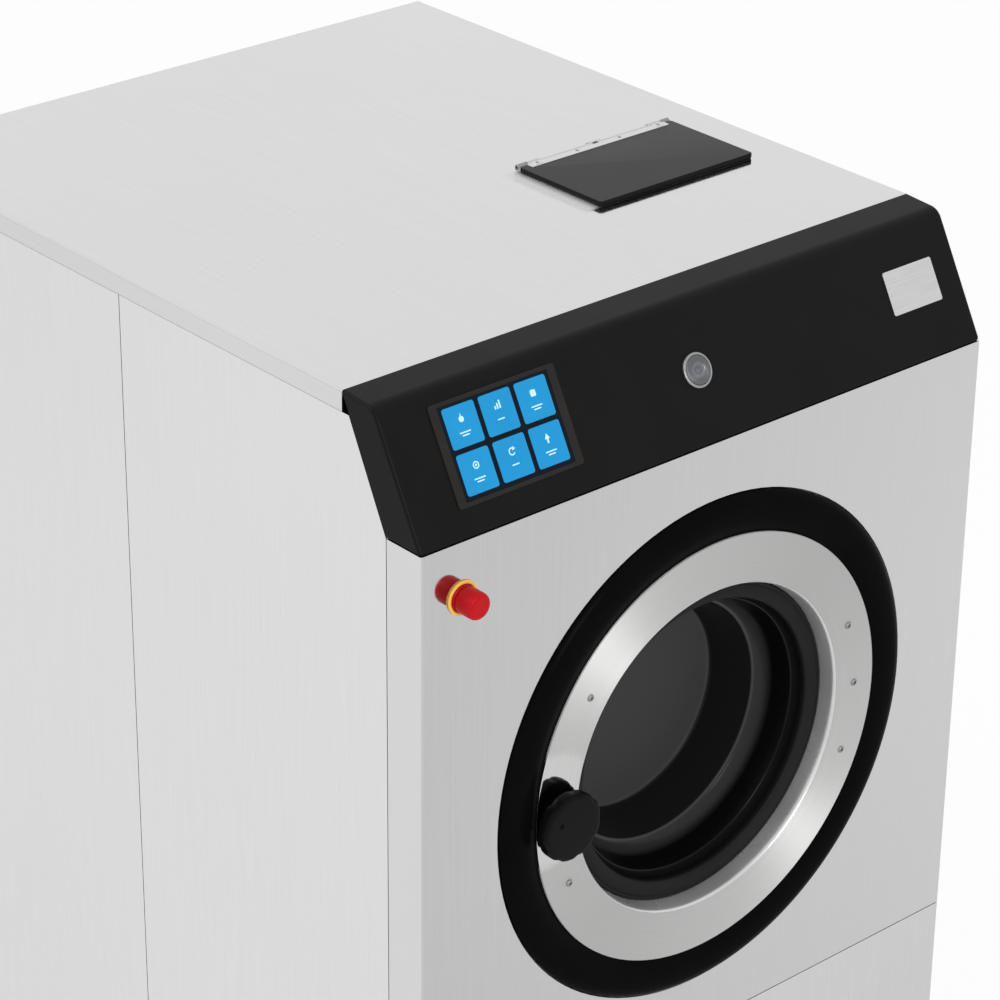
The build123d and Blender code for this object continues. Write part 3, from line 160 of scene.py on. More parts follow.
def cleanShell(piece):
    editMesh(piece)
    bpy.ops.mesh.remove_doubles(threshold=1e-6)
    bpy.ops.mesh.normals_make_consistent(inside=False)
    leaveEdit()


def copyOf(piece, name):
    # a copy with its own mesh
    pick(piece)
    bpy.ops.object.duplicate(linked=False)
    return named(name)


def joinAll(pieces, name):
    dropSelection()
    for piece in pieces:
        piece.select_set(True)
    bpy.context.view_layer.objects.active = pieces[0]
    if len(pieces) > 1:
        bpy.ops.object.join()
    return named(name)


def turnedPiece(name, rings, steps, ends, smooth=0, place=None):
    # rings are (radius, height) about local Z, walked in order with extrude and resize;
    # ends is loop for a closed section, or says which ends are capped: caps, firstCap or lastCap
    dropSelection()
    radius, height = rings[0]
    bpy.ops.mesh.primitive_circle_add(vertices=steps, radius=radius * mm)
    piece = named(name)
    bpy.ops.object.mode_set(mode="EDIT")
    selectAll()
    bpy.ops.transform.translate(value=(0, 0, height * mm))
    capInset = 0.3
    if ends in ("caps", "firstCap"):
        bpy.ops.mesh.edge_face_add()
        selectAll()
        bpy.ops.mesh.inset(thickness=radius * capInset * mm)
        pickEdges(piece, lambda point: fromAxis(point) > radius * 0.99 * mm)
    walk = list(rings[1:]) + ([rings[0]] if ends == "loop" else [])
    for nextRadius, nextHeight in walk:
        bpy.ops.mesh.extrude_edges_move(TRANSFORM_OT_translate={"value": (0, 0, (nextHeight - height) * mm)})
        scale = nextRadius / radius
        scaleAcross(scale, scale, nextHeight)
        radius, height = nextRadius, nextHeight
    if ends in ("caps", "lastCap"):
        bpy.ops.mesh.edge_face_add()
        bpy.ops.mesh.inset(thickness=radius * capInset * mm)
    leaveEdit()
    cleanShell(piece)
    if smooth:
        smoothEdges(piece, smooth)
    if place:
        standAt(piece, place)
    return piece


def standAt(piece, place, tilt=(90, 0, 0)):
    # turns a piece made flat so that its local Z points out of the machine, and fixes it there
    piece.rotation_euler = [math.radians(angle) for angle in tilt]
    piece.location = [value * mm for value in place]
    bakePlace(piece)


def onFascia(piece, x, rise, out=0.0):
    lean = math.radians(faceTilt)
    y = faceMiddle[1] + rise * math.cos(lean) - out * math.sin(lean)
    z = faceMiddle[2] + rise * math.sin(lean) + out * math.cos(lean)
    standAt(piece, (x, y, z), (faceTilt, 0, 0))


def onDoor(angle, radius, depth):
    turn = math.radians(angle)
    return (radius * math.cos(turn), cabinet["frontY"] + depth, cabinet["doorZ"] + radius * math.sin(turn))


def onBack(piece, x, z, out=0.0):
    standAt(piece, (x, cabinet["backY"] + out, z), (-90, 0, 0))


def roundedPlate(name, width, height, thickness, corner, segments=5, edge=0.0):
    # a flat plate with rounded corners, its back on local zero
    dropSelection()
    bpy.ops.mesh.primitive_plane_add(size=1)
    plate = named(name)
    plate.scale = (width * mm, height * mm, 1)
    bakePlace(plate)
    editMesh(plate)
    bpy.ops.mesh.bevel(offset=corner * mm, segments=segments, affect="VERTICES")
    selectAll()
    extrudeUp(thickness)
    leaveEdit()
    cleanShell(plate)
    if edge:
        editMesh(plate)
        pickFaces(plate, facesUp)
        bpy.ops.mesh.bevel(offset=edge * mm, segments=2, affect="EDGES")
        leaveEdit()
    return plate


def bevelledBox(name, sizes, place, edge):
    # a block with rounded edges, given by its sizes and its middle
    dropSelection()
    bpy.ops.mesh.primitive_cube_add(size=1)
    block = named(name)
    block.scale = [value * mm for value in sizes]
    block.location = [value * mm for value in place]
    bakePlace(block)
    editMesh(block)
    bpy.ops.mesh.bevel(offset=edge * mm, segments=2, affect="EDGES")
    leaveEdit()
    return block


def paint(piece, finishName):
    piece.data.materials.append(finish[finishName])


def secondMaterial(piece, finishName, test):
    # gives the faces that pass the test another material
    pick(piece)
    paint(piece, finishName)
    bpy.ops.object.mode_set(mode="EDIT")
    pickFaces(piece, test)
    piece.active_material_index = len(piece.data.materials) - 1
    bpy.ops.object.material_slot_assign()
    leaveEdit()


def dress(piece, finishName, body):
    piece.data.materials.clear()
    paint(piece, finishName)
    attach(piece, body)


# shader nodes
def feed(tree, node, inputs):
    # inputs given as sockets are linked, plain values are set on the node's own socket
    for label, value in inputs.items():
        if isinstance(value, bpy.types.NodeSocket):
            tree.links.new(value, node.inputs[label])
        else:
            node.inputs[label].default_value = value


def addNode(tree, kind, inputs={}, **settings):
    node = tree.nodes.new("ShaderNode" + kind)
    for key, value in settings.items():
        setattr(node, key, value)
    feed(tree, node, inputs)
    return node


def mathNode(tree, operation, first, second=None):
    inputs = {0: first} if second is None else {0: first, 1: second}
    return addNode(tree, "Math", inputs, operation=operation).outputs[0]


def rangeNode(tree, source, low, high, fromLow=0.3, fromHigh=0.7):
    inputs = {"Value": source, "From Min": fromLow, "From Max": fromHigh, "To Min": low, "To Max": high}
    return addNode(tree, "MapRange", inputs).outputs["Result"]


def noiseNode(tree, vector, scale, detail, roughness=0.5):
    inputs = {"Vector": vector, "Scale": scale, "Detail": detail, "Roughness": roughness}
    return addNode(tree, "TexNoise", inputs).outputs["Fac"]


# shared shader groups
def newGroup(name, inputs, outputs):
    group = bpy.data.node_groups.new(name, "ShaderNodeTree")
    for label, value in inputs.items():
        kind = "NodeSocketVector" if isinstance(value, tuple) else "NodeSocketFloat"
        group.interface.new_socket(name=label, in_out="INPUT", socket_type=kind).default_value = value
    for label in outputs:
        group.interface.new_socket(name=label, in_out="OUTPUT", socket_type="NodeSocketFloat")
    return group, group.nodes.new("NodeGroupInput").outputs, group.nodes.new("NodeGroupOutput")


def makeBrushGroup():
    # streaks drawn out along one axis, with a soft cloudy mask over them
    values = {"Vector": (0.0, 0.0, 0.0), "Stretch": (1.0, 1.0, 0.02), "Fineness": 900.0, "Clouds": 3.0}
    group, entry, leave = newGroup("brushStreaks", values, ("Streaks", "Cloud"))
    drawn = addNode(group, "VectorMath", {0: entry["Vector"], 1: entry["Stretch"]}, operation="MULTIPLY").outputs[0]
    streaks = noiseNode(group, drawn, entry["Fineness"], 3.0, 0.65)
    feed(group, leave, {"Streaks": streaks, "Cloud": noiseNode(group, entry["Vector"], entry["Clouds"], 2.0)})
    return group


def makeGrainGroup():
    # the fine pebble of moulded plastic, rubber and castings, with a wider unevenness
    values = {"Vector": (0.0, 0.0, 0.0), "Pebble": 1500.0, "Uneven": 20.0}
    group, entry, leave = newGroup("mouldGrain", values, ("Grain", "Broad"))
    grain = noiseNode(group, entry["Vector"], entry["Pebble"], 2.0)
    feed(group, leave, {"Grain": grain, "Broad": noiseNode(group, entry["Vector"], entry["Uneven"], 4.0)})
    return group


def makeTurnGroup():
    # concentric lathe marks round an axis along Y
    values = {"Vector": (0.0, 0.0, 0.0), "Fineness": 1400.0}
    group, entry, leave = newGroup("latheMarks", values, ("Marks", "Radius"))
    parts = addNode(group, "SeparateXYZ", {0: entry["Vector"]}).outputs
    squares = [mathNode(group, "MULTIPLY", parts[axis], parts[axis]) for axis in "XZ"]
    radius = mathNode(group, "SQRT", mathNode(group, "ADD", *squares))
    spread = addNode(group, "CombineXYZ", {"X": radius, "Y": parts["Y"]}).outputs[0]
    feed(group, leave, {"Marks": noiseNode(group, spread, entry["Fineness"], 3.0, 0.7), "Radius": radius})
    return group


brushStreaks = makeBrushGroup()
mouldGrain = makeGrainGroup()
latheMarks = makeTurnGroup()


# materials
def rgba(color):
    # a single number stands for a grey
    return (*((color,) * 3 if isinstance(color, float) else color), 1.0)


def startMaterial(name, color, metallic, roughness, gloss=0.5):
    material = bpy.data.materials.new(name)
    material.use_nodes = True
    material.diffuse_color = rgba(color)
    tree = material.node_tree
    shader = tree.nodes["Principled BSDF"]
    feed(tree, shader, {"Base Color": rgba(color), "Metallic": metallic, "Roughness": roughness})
    feed(tree, shader, {"Specular IOR Level": gloss})
    return material, tree, shader


def finishShader(tree, shader, color, roughness, height, strength, distance):
    bump = addNode(tree, "Bump", {"Strength": strength, "Distance": distance, "Height": height})
    feed(tree, shader, {"Base Color": color, "Roughness": roughness, "Normal": bump.outputs["Normal"]})


def objectPoint(tree):
    return addNode(tree, "TexCoord").outputs["Object"]


def objectAxes(tree):
    return addNode(tree, "SeparateXYZ", {0: objectPoint(tree)}).outputs


def placeGroup(tree, group, shift=(0.0, 0.0, 0.0), **values):
    moved = addNode(tree, "Mapping", {"Location": shift, "Vector": objectPoint(tree)}).outputs["Vector"]
    return addNode(tree, "Group", {"Vector": moved, **values}, node_tree=group).outputs


# shifts, in metres, that put a texture's zero on the door's axis or on the fascia's middle
doorCentre = (0.0, 0.0, -cabinet["doorZ"] * mm)
fasciaCentre = tuple(-value * mm for value in faceMiddle)


def doorRadius(tree):
    return placeGroup(tree, latheMarks, shift=doorCentre, Fineness=40.0)["Radius"]


def blendColors(tree, factor, low, high):
    # each end is a colour, or a socket that gives one
    ends = [value if isinstance(value, bpy.types.NodeSocket) else rgba(value) for value in (low, high)]
    return addNode(tree, "Mix", {"Factor": factor, "A": ends[0], "B": ends[1]}, data_type="RGBA").outputs["Result"]


def overPaint(material, factor, color):
    # another colour where the factor is one
    tree = material.node_tree
    socket = tree.nodes["Principled BSDF"].inputs["Base Color"]
    tree.links.new(blendColors(tree, factor, socket.links[0].from_socket, color), socket)
    return material


def radiusTones(tree, radius, tones):
    # grey bands by radius: pairs of millimetres and tone, blended over a short way at each border
    first, last = tones[0][0], tones[-1][0]
    ramp = addNode(tree, "ValToRGB", {"Fac": rangeNode(tree, radius, 0.0, 1.0, first * mm, last * mm)})
    marks = ramp.color_ramp.elements
    while len(marks) > 1:
        marks.remove(marks[-1])
    marks[0].position = 0.0
    for number, (edge, tone) in enumerate(tones):
        mark = marks[0] if number == 0 else marks.new((edge - first) / (last - first))
        mark.color = rgba(tone)
    return ramp.outputs["Color"]


def bandMask(tree, source, edges):
    # one between the two middle edges, fading to zero at the outer ones
    start, full, fade, end = (edge * mm for edge in edges)
    rising = rangeNode(tree, source, 0.0, 1.0, start, full)
    return mathNode(tree, "MULTIPLY", rising, rangeNode(tree, source, 1.0, 0.0, fade, end))


def sheetSteel(name, dark, light, stretch, smooth, rough, fineness=700.0):
    material, tree, shader = startMaterial(name, light, 1.0, rough)
    brush = placeGroup(tree, brushStreaks, Stretch=stretch, Fineness=fineness, Clouds=2.5)
    streaks, cloud = brush["Streaks"], mathNode(tree, "MULTIPLY", brush["Cloud"], 0.25)
    tone = mathNode(tree, "ADD", mathNode(tree, "MULTIPLY", streaks, 0.75), cloud)
    color = blendColors(tree, rangeNode(tree, tone, 0.0, 1.0, 0.32, 0.68), dark, light)
    finishShader(tree, shader, color, rangeNode(tree, streaks, smooth, rough), streaks, 0.06, 0.0002)
    return material


def turnedSteel(name, dark, light, smooth, rough, middle=doorCentre, grooved=0.7, polished=None):
    material, tree, shader = startMaterial(name, light, 1.0, rough)
    around = addNode(tree, "Tangent", direction_type="RADIAL", axis="Y").outputs["Tangent"]
    # a quarter turn spreads the highlights across the grooves
    feed(tree, shader, {"Anisotropic": grooved, "Anisotropic Rotation": 0.25, "Tangent": around})
    marks = placeGroup(tree, latheMarks, shift=middle, Fineness=900.0)["Marks"]
    roughness = rangeNode(tree, marks, smooth, rough)
    if polished:
        # rubbed bright round a point, where the hand goes
        x, z, near, far = polished
        away = placeGroup(tree, latheMarks, shift=(-x * mm, 0.0, -z * mm), Fineness=900.0)["Radius"]
        roughness = mathNode(tree, "MULTIPLY", roughness, rangeNode(tree, away, 0.1, 1.0, near * mm, far * mm))
    color = blendColors(tree, rangeNode(tree, marks, 0.0, 1.0), dark, light)
    finishShader(tree, shader, color, roughness, marks, 0.08, 0.0002)
    return material


def moulded(name, dark, light, smooth, rough, pebble=1500.0, bump=0.12, gloss=0.5, metallic=0.0):
    material, tree, shader = startMaterial(name, light, metallic, rough, gloss)
    grain = placeGroup(tree, mouldGrain, Pebble=pebble, Uneven=14.0)
    color = blendColors(tree, rangeNode(tree, grain["Broad"], 0.0, 1.0), dark, light)
    finishShader(tree, shader, color, rangeNode(tree, grain["Broad"], smooth, rough), grain["Grain"], bump, 0.0003)
    return material


def litPanel(name, color, strength):
    material, tree, shader = startMaterial(name, color, 0.0, 0.3, 0.1)
    broad = placeGroup(tree, mouldGrain, Pebble=2500.0, Uneven=30.0)["Broad"]
    tint = blendColors(tree, rangeNode(tree, broad, 0.0, 1.0), tuple(value * 0.93 for value in color), color)
    feed(tree, shader, {"Base Color": tint, "Emission Color": tint, "Emission Strength": strength})
    return material


# smoked glass with painted light and shade by radius: a matt floor painted paler as if lit, a wall painted dark as
# shade, a painted highlight along its step and painted shade in its mouth
bowlPaintedLight = {
    "tones": [
        (100.0, 0.050), (109.4, 0.050), (109.9, 0.0095), (121.9, 0.0110), (122.3, 0.055), (124.2, 0.055),
        (124.7, 0.029), (131.0, 0.027), (133.5, 0.0030), (150.0, 0.0012),
    ],
    "floorEdge": (108.5, 111.5), "floorMatt": 0.35, "rough": (0.18, 0.26),
}


def bowlGlass():
    material, tree, shader = startMaterial("bowlGlass", 0.010, 0.0, 0.2, 0.1)
    shader.inputs["Transmission Weight"].default_value = 0.03
    shader.inputs["IOR"].default_value = 1.5
    radius = doorRadius(tree)
    grain = placeGroup(tree, mouldGrain, Pebble=60.0, Uneven=8.0)
    near, far = bowlPaintedLight["floorEdge"]
    onFloor = rangeNode(tree, radius, bowlPaintedLight["floorMatt"], 0.0, near * mm, far * mm)
    roughness = mathNode(tree, "ADD", rangeNode(tree, grain["Broad"], *bowlPaintedLight["rough"]), onFloor)
    # the bowl's tones by radius are painted light and shade
    finishShader(tree, shader, radiusTones(tree, radius, bowlPaintedLight["tones"]), roughness, grain["Grain"], 0.01, 0.0004)
    return material


# how far the brushing draws its streaks out, by axis
upright, lengthways, crossways = (1.0, 1.0, 0.012), (1.0, 0.012, 1.0), (0.03, 1.0, 1.0)

# painted light on the front's brushed sheet: its tone is painted darker than the sides', painted paler towards the
# right, and painted paler again on its folded sides for the light they catch
frontPaintedLight = {"half": 346.0, "pale": 0.78, "paintedLightShare": 0.5, "fold": (345.0, 345.8), "foldPaintedLight": 0.670}


def frontSteel():
    material = sheetSteel("cabinetSteel", 0.532, 0.568, upright, 0.055, 0.10)
    tree = material.node_tree
    x = objectAxes(tree)["X"]
    half = frontPaintedLight["half"] * mm
    # painted light: the sheet is painted paler towards its right
    overPaint(material, rangeNode(tree, x, 0.0, frontPaintedLight["paintedLightShare"], -half, half), frontPaintedLight["pale"])
    # painted light: the folded sides are painted paler, like the lit sides
    near, far = frontPaintedLight["fold"]
    folded = rangeNode(tree, mathNode(tree, "ABSOLUTE", x), 0.0, 1.0, near * mm, far * mm)
    return overPaint(material, folded, frontPaintedLight["foldPaintedLight"])


# the cover's sheet is scuffed dull beside the hopper's lid
scuff = {"x": (74.0, 84.0, 96.0, 100.0), "y": (-154.5, -148.5, -34.0, -26.0), "dull": 0.5}


def topSheet():
    material = sheetSteel("topSteel", 0.645, 0.685, lengthways, 0.09, 0.15)
    tree = material.node_tree
    axes = objectAxes(tree)
    zone = mathNode(tree, "MULTIPLY", bandMask(tree, axes["X"], scuff["x"]), bandMask(tree, axes["Y"], scuff["y"]))
    dull = mathNode(tree, "MULTIPLY", zone, scuff["dull"])
    socket = tree.nodes["Principled BSDF"].inputs["Roughness"]
    tree.links.new(mathNode(tree, "ADD", socket.links[0].from_socket, dull), socket)
    return material


# the gasket is grey on its flat face, and painted shade makes it black in its mouth
gasketMouthShade = {"edge": (142.8, 144.2), "tone": 0.0018}


def gasketSkin():
    material = moulded("gasketRubber", 0.0115, 0.0155, 0.45, 0.6, 1200.0, 0.15, 0.06)
    near, far = gasketMouthShade["edge"]
    # painted shade: the gasket's mouth is painted near black
    mouth = rangeNode(material.node_tree, doorRadius(material.node_tree), 1.0, 0.0, near * mm, far * mm)
    return overPaint(material, mouth, gasketMouthShade["tone"])


# dark and light tone, brushing, least and most roughness, streaks per metre
sheets = {
    # the sides wear the cabinet's brushed steel painted paler than the front's: painted light on the sides
    "sideSteel": (0.705, 0.745, upright, 0.09, 0.15),
    "serviceSteel": (0.665, 0.705, upright, 0.055, 0.10),
    "rearSteel": ((0.50, 0.51, 0.515), (0.60, 0.61, 0.612), (1.0, 1.0, 0.3), 0.36, 0.5, 160.0),
    "badgeMetal": (0.53, 0.64, (0.01, 1.0, 1.0), 0.26, 0.38, 1500.0),
    "hingeSteel": ((0.50, 0.50, 0.495), (0.60, 0.60, 0.595), crossways, 0.24, 0.36, 900.0),
    "leafSteel": (0.62, 0.69, crossways, 0.30, 0.42, 900.0),
    "tubSteel": ((0.46, 0.46, 0.455), (0.56, 0.56, 0.55), (1.0, 0.04, 1.0), 0.3, 0.42, 300.0),
    "drumSteel": ((0.60, 0.60, 0.595), (0.70, 0.70, 0.69), (1.0, 0.03, 1.0), 0.16, 0.26, 500.0),
}
# dark and light tone, least and most roughness, centre, strength of the grooves, polished spot (x, z, near, far)
turnings = {
    "collarChrome": ((0.30, 0.302, 0.306), (0.36, 0.362, 0.368), 0.30, 0.40, fasciaCentre),
    "buttonMetal": ((0.136, 0.138, 0.141), (0.172, 0.175, 0.179), 0.46, 0.54, fasciaCentre),
    "buttonDish": ((0.160, 0.165, 0.178), (0.205, 0.212, 0.228), 0.3, 0.4, fasciaCentre),
    "doorSteel": (
        (0.585, 0.585, 0.581), (0.655, 0.655, 0.651), 0.50, 0.60, doorCentre, 0.9, (-203.0, 762.0, 50.0, 62.0)
    ),
    "bearingSteel": (0.55, 0.65, 0.12, 0.22),
}
# dark and light tone, least and most roughness, pebbles per metre, bump, gloss, metallic
mouldings = {
    "basePaint": ((0.030, 0.031, 0.034), (0.042, 0.044, 0.047), 0.38, 0.5, 900.0, 0.2),
    "fasciaPlastic": ((0.0058, 0.0058, 0.0060), (0.0070, 0.0070, 0.0072), 0.34, 0.42, 1800.0, 0.12, 0.07),
    "displayPlastic": ((0.0190, 0.0174, 0.0160), (0.0230, 0.0210, 0.0193), 0.34, 0.42, 1800.0, 0.1, 0.08),
    "buttonMark": ((0.05, 0.065, 0.09), (0.06, 0.08, 0.11), 0.3, 0.4),
    "stopRed": ((0.42, 0.003, 0.007), (0.50, 0.004, 0.009), 0.3, 0.4, 1500.0, 0.05, 0.12),
    "stopYellow": ((0.92, 0.50, 0.085), (0.97, 0.56, 0.11), 0.32, 0.42, 1500.0, 0.05, 0.3),
    "bezelBlack": ((0.0030, 0.0030, 0.0031), (0.0038, 0.0038, 0.0039), 0.16, 0.24, 1500.0, 0.03, 0.008),
    "knobBlack": ((0.0036, 0.0036, 0.0037), (0.0048, 0.0048, 0.0049), 0.34, 0.44, 1500.0, 0.12, 0.06),
    "lipSteel": ((0.60, 0.60, 0.597), (0.70, 0.70, 0.697), 0.20, 0.30, 1500.0, 0.03, 0.5, 0.62),
    "frameCast": ((0.26, 0.265, 0.27), (0.36, 0.365, 0.37), 0.5, 0.65, 400.0, 0.5, 0.5, 0.8),
    "sealRubber": (0.008, 0.012, 0.4, 0.55, 1200.0, 0.15),
    "screwSteel": (0.27, 0.33, 0.46, 0.56, 800.0, 0.05, 0.5, 1.0),
    "lockPlastic": ((0.016, 0.016, 0.018), (0.022, 0.022, 0.024), 0.4, 0.5),
    "pulleyIron": ((0.055, 0.057, 0.060), (0.085, 0.087, 0.09), 0.45, 0.6, 300.0, 0.5, 0.5, 0.6),
    "motorPaint": ((0.030, 0.042, 0.060), (0.040, 0.055, 0.078), 0.35, 0.48, 500.0, 0.25),
    "beltRubber": (0.010, 0.016, 0.55, 0.7, 700.0, 0.3),
    "valvePlastic": ((0.40, 0.41, 0.42), (0.50, 0.51, 0.52), 0.38, 0.5),
    "valveBlue": ((0.02, 0.10, 0.34), (0.03, 0.13, 0.40), 0.38, 0.5),
    "valveRed": ((0.36, 0.02, 0.02), (0.42, 0.03, 0.03), 0.38, 0.5),
    "hopperPlastic": ((0.34, 0.35, 0.36), (0.42, 0.43, 0.44), 0.38, 0.5),
    "hoseRubber": (0.014, 0.020, 0.45, 0.58, 900.0, 0.3),
    "lidPlastic": (0.0080, 0.0100, 0.4, 0.5, 1500.0, 0.2, 0.06),
    # the lid's top: the lid's own dark plastic painted lighter, as painted light
    "lidSatin": ((0.044, 0.044, 0.0445), (0.051, 0.051, 0.0515), 0.42, 0.5, 1500.0, 0.2, 0.08),
    "casePlastic": ((0.20, 0.205, 0.21), (0.26, 0.265, 0.27), 0.42, 0.55),
    "glandNylon": ((0.014, 0.014, 0.015), (0.020, 0.020, 0.021), 0.4, 0.5),
}
# colour and strength of the display's own light
litPanels = {
    "screenBase": ((0.0010, 0.0040, 0.0095), 0.3),
    "tileBlue": ((0.011, 0.205, 0.432), 0.55),
    "iconWhite": ((0.42, 0.64, 0.78), 0.55),
}
finish = {
    "cabinetSteel": frontSteel(), "topSteel": topSheet(), "gasketRubber": gasketSkin(), "bowlGlass": bowlGlass(),
}
for maker, table in ((sheetSteel, sheets), (turnedSteel, turnings), (moulded, mouldings), (litPanel, litPanels)):
    for finishName, values in table.items():
        finish[finishName] = maker(finishName, *values)
print("materials ready:", len(finish))

# the CAD nodes that wear each finish
wearers = {
    "basePaint": "base_frame tub_cradles",
    "cabinetSteel": "front_panel",
    "serviceSteel": "service_panel",
    "sideSteel": "left_front_side left_rear_side right_front_side right_rear_side",
    "topSteel": "top_cover",
    "rearSteel": "rear_panel rear_cover fascia_backplate door_recess vent_spigot",
    "screwSteel": "panel_screws door_screws",
    "fasciaPlastic": "fascia_housing",
    "displayPlastic": "display_bezel",
    "screenBase": "display_glass",
    "collarChrome": "button_collar",
    "buttonMetal": "start_button",
    "badgeMetal": "badge_plate",
    "stopYellow": "estop_collar",
    "stopRed": "estop_head",
    "bezelBlack": "door_bezel",
    "doorSteel": "door_ring",
    "frameCast": "door_frame",
    "gasketRubber": "door_gasket",
    "bowlGlass": "door_glass",
    "knobBlack": "handle_knob",
    "hingeSteel": "latch_spindle hinge_leaf hinge_bracket hinge_pin hopper_hinge hopper_hinge_pin drum_shaft",
    "lockPlastic": "door_lock",
    "sealRubber": "tub_seal",
    "tubSteel": "tub_front_plate tub_shell tub_back_plate",
    "drumSteel": "drum_front_ring drum_shell drum_back_plate drum_lifters",
    "bearingSteel": "bearings",
    "pulleyIron": "bearing_housing drum_pulley motor_pulley",
    "motorPaint": "motor_body",
    "beltRubber": "drive_belt",
    "valvePlastic": "drain_valve inlet_valves",
    "hopperPlastic": "hopper_box",
    "hoseRubber": "hopper_hose",
    "lidPlastic": "hopper_lid",
    "casePlastic": "control_box",
    "glandNylon": "cable_gland",
}
for finishName, nodeNames in wearers.items():
    for nodeName in nodeNames.split():
        for materialSlot in cadNodes[nodeName].material_slots:
            materialSlot.material = finish[finishName]
print("CAD nodes finished:", sum(len(nodeNames.split()) for nodeNames in wearers.values()), "of", len(cadNodes))


# touch display: six tiles, each with a plain sign and short bars under it
display = {
    "place": (-222.6, 6.6, 0.9), "tile": (35.3, 36.4), "gap": (5.2, 4.6), "corner": 2.4, "thick": 0.25,
    "signRise": 5.5, "signScale": 1.35, "signThick": 0.12,
    "barLong": 12.5, "barShort": 8.0, "barHigh": 1.1, "barCorner": 0.6, "barDrop": 6.0, "barPitch": 2.6,
}
# corners and radius, width, height and corner, or outer and inner radius; places are x and y
signs = {
    "drop": (16, 2.0), "dropTop": 1.9, "dropLift": 2.2, "dropShoulder": 1.5, "dropNarrow": 0.6,
    "barWide": 1.1, "barHigh": (2.4, 1.5), "barCorner": 0.4, "barPlace": (2.0, 0.75),
    "square": (4.4, 4.4, 0.9, 5), "ring": (2.5, 1.7), "dot": (12, 0.8),
    "turn": (2.6, 1.8), "turnKept": (60, 330), "head": (3, 1.6), "headPlace": (1.7, 1.7, 0, 20),
    "peak": (3, 2.4), "peakPlace": (0, 0.9), "stem": (1.4, 3.2, 0.3, 2), "stemPlace": (0, -1.6),
}


def flatShape(name, corners, radius):
    # a small flat plate with a number of corners round a circle
    dropSelection()
    bpy.ops.mesh.primitive_circle_add(vertices=corners, radius=radius * mm, fill_type="NGON")
    shape = named(name)
    editMesh(shape)
    extrudeUp(display["signThick"])
    leaveEdit()
    cleanShell(shape)
    return shape


def signPlate(name, width, height, corner, segments=3):
    return roundedPlate(name, width, height, display["signThick"], corner, segments)


def ringShape(name, outer, inner, thickness=display["signThick"], steps=28):
    return turnedPiece(name, [(inner, 0), (outer, 0), (outer, thickness), (inner, thickness)], steps, "loop")


def arcShape(name, outer, inner, kept, thickness=display["signThick"], steps=36):
    # a flat ring with the parts outside the kept angles cut away and closed again
    ring = ringShape(name, outer, inner, thickness, steps)
    editMesh(ring)
    pickFaces(ring, lambda centre, normal: not kept(turnOf(centre) % 360))
    bpy.ops.mesh.delete(type="FACE")
    selectAll()
    bpy.ops.mesh.fill_holes(sides=4)
    leaveEdit()
    cleanShell(ring)
    return ring


def dropSign():
    drop = flatShape("iconDrop", *signs["drop"])
    top, shoulder = signs["dropTop"] * mm, signs["dropShoulder"] * mm
    editMesh(drop)
    pickVertices(drop, lambda co: co.y > top)
    bpy.ops.transform.translate(value=(0, signs["dropLift"] * mm, 0))
    pickVertices(drop, lambda co: shoulder < co.y < top)
    scaleAcross(signs["dropNarrow"], 1)
    leaveEdit()
    return drop


def signPieces(number):
    # drop, rising bars, square, target, turn arrow and up arrow
    if number == 0:
        return [dropSign()]
    if number == 1:
        least, more = signs["barHigh"]
        across, up = signs["barPlace"]
        return [
            movedTo(
                signPlate("iconBar", signs["barWide"], least + more * step, signs["barCorner"]),
                across * (step - 1), up * (step - 1),
            )
            for step in range(3)
        ]
    if number == 2:
        return [signPlate("iconSquare", *signs["square"])]
    if number == 3:
        return [ringShape("iconRing", *signs["ring"]), flatShape("iconDot", *signs["dot"])]
    if number == 4:
        low, high = signs["turnKept"]
        turn = arcShape("iconTurn", *signs["turn"], lambda angle: low < angle < high)
        return [turn, movedTo(flatShape("iconHead", *signs["head"]), *signs["headPlace"])]
    peak = movedTo(flatShape("iconPeak", *signs["peak"]), *signs["peakPlace"])
    return [peak, movedTo(signPlate("iconStem", *signs["stem"]), *signs["stemPlace"])]


def buildDisplay():
    wide, high = display["tile"]
    thick, scale = display["thick"], display["signScale"]
    tiles, drawn = [], []
    for row in range(2):
        for column in range(3):
            x = (column - 1) * (wide + display["gap"][0])
            y = (0.5 - row) * (high + display["gap"][1])
            tiles.append(movedTo(roundedPlate("tile", wide, high, thick, display["corner"]), x, y))
            for sign in signPieces(row * 3 + column):
                sign.scale = (scale, scale, 1)
                drawn.append(movedTo(sign, x, y + display["signRise"], thick))
            bars = [display["barLong"], display["barShort"]] if column != 1 else [display["barShort"]]
            for step, width in enumerate(bars):
                bar = signPlate("labelBar", width, display["barHigh"], display["barCorner"])
                drawn.append(movedTo(bar, x, y - display["barDrop"] - display["barPitch"] * step, thick))
    for parts, name, finishName in ((tiles, "screenTiles", "tileBlue"), (drawn, "screenSigns", "iconWhite")):
        sheet = joinAll(parts, name)
        onFascia(sheet, *display["place"])
        dress(sheet, finishName, "cabinet")


buildDisplay()
print("display done")


# start button: a turned cap with a dished middle and a plain sign
startButton = {
    "x": 1.0, "rise": 1.5, "dish": 7.6,
    "rings": [
        (13.6, -13.6), (13.8, -13.3), (13.8, 2.1), (13.65, 2.6), (13.3, 3.0), (12.8, 3.2), (9.0, 3.2), (8.3, 3.1),
        (7.8, 2.8), (7.4, 2.55), (6.6, 2.5),
    ],
    "sign": {"ring": (3.8, 3.0), "gap": (65, 115), "bar": (0.9, 3.4, 0.4), "barRise": 2.4, "out": 2.5},
}


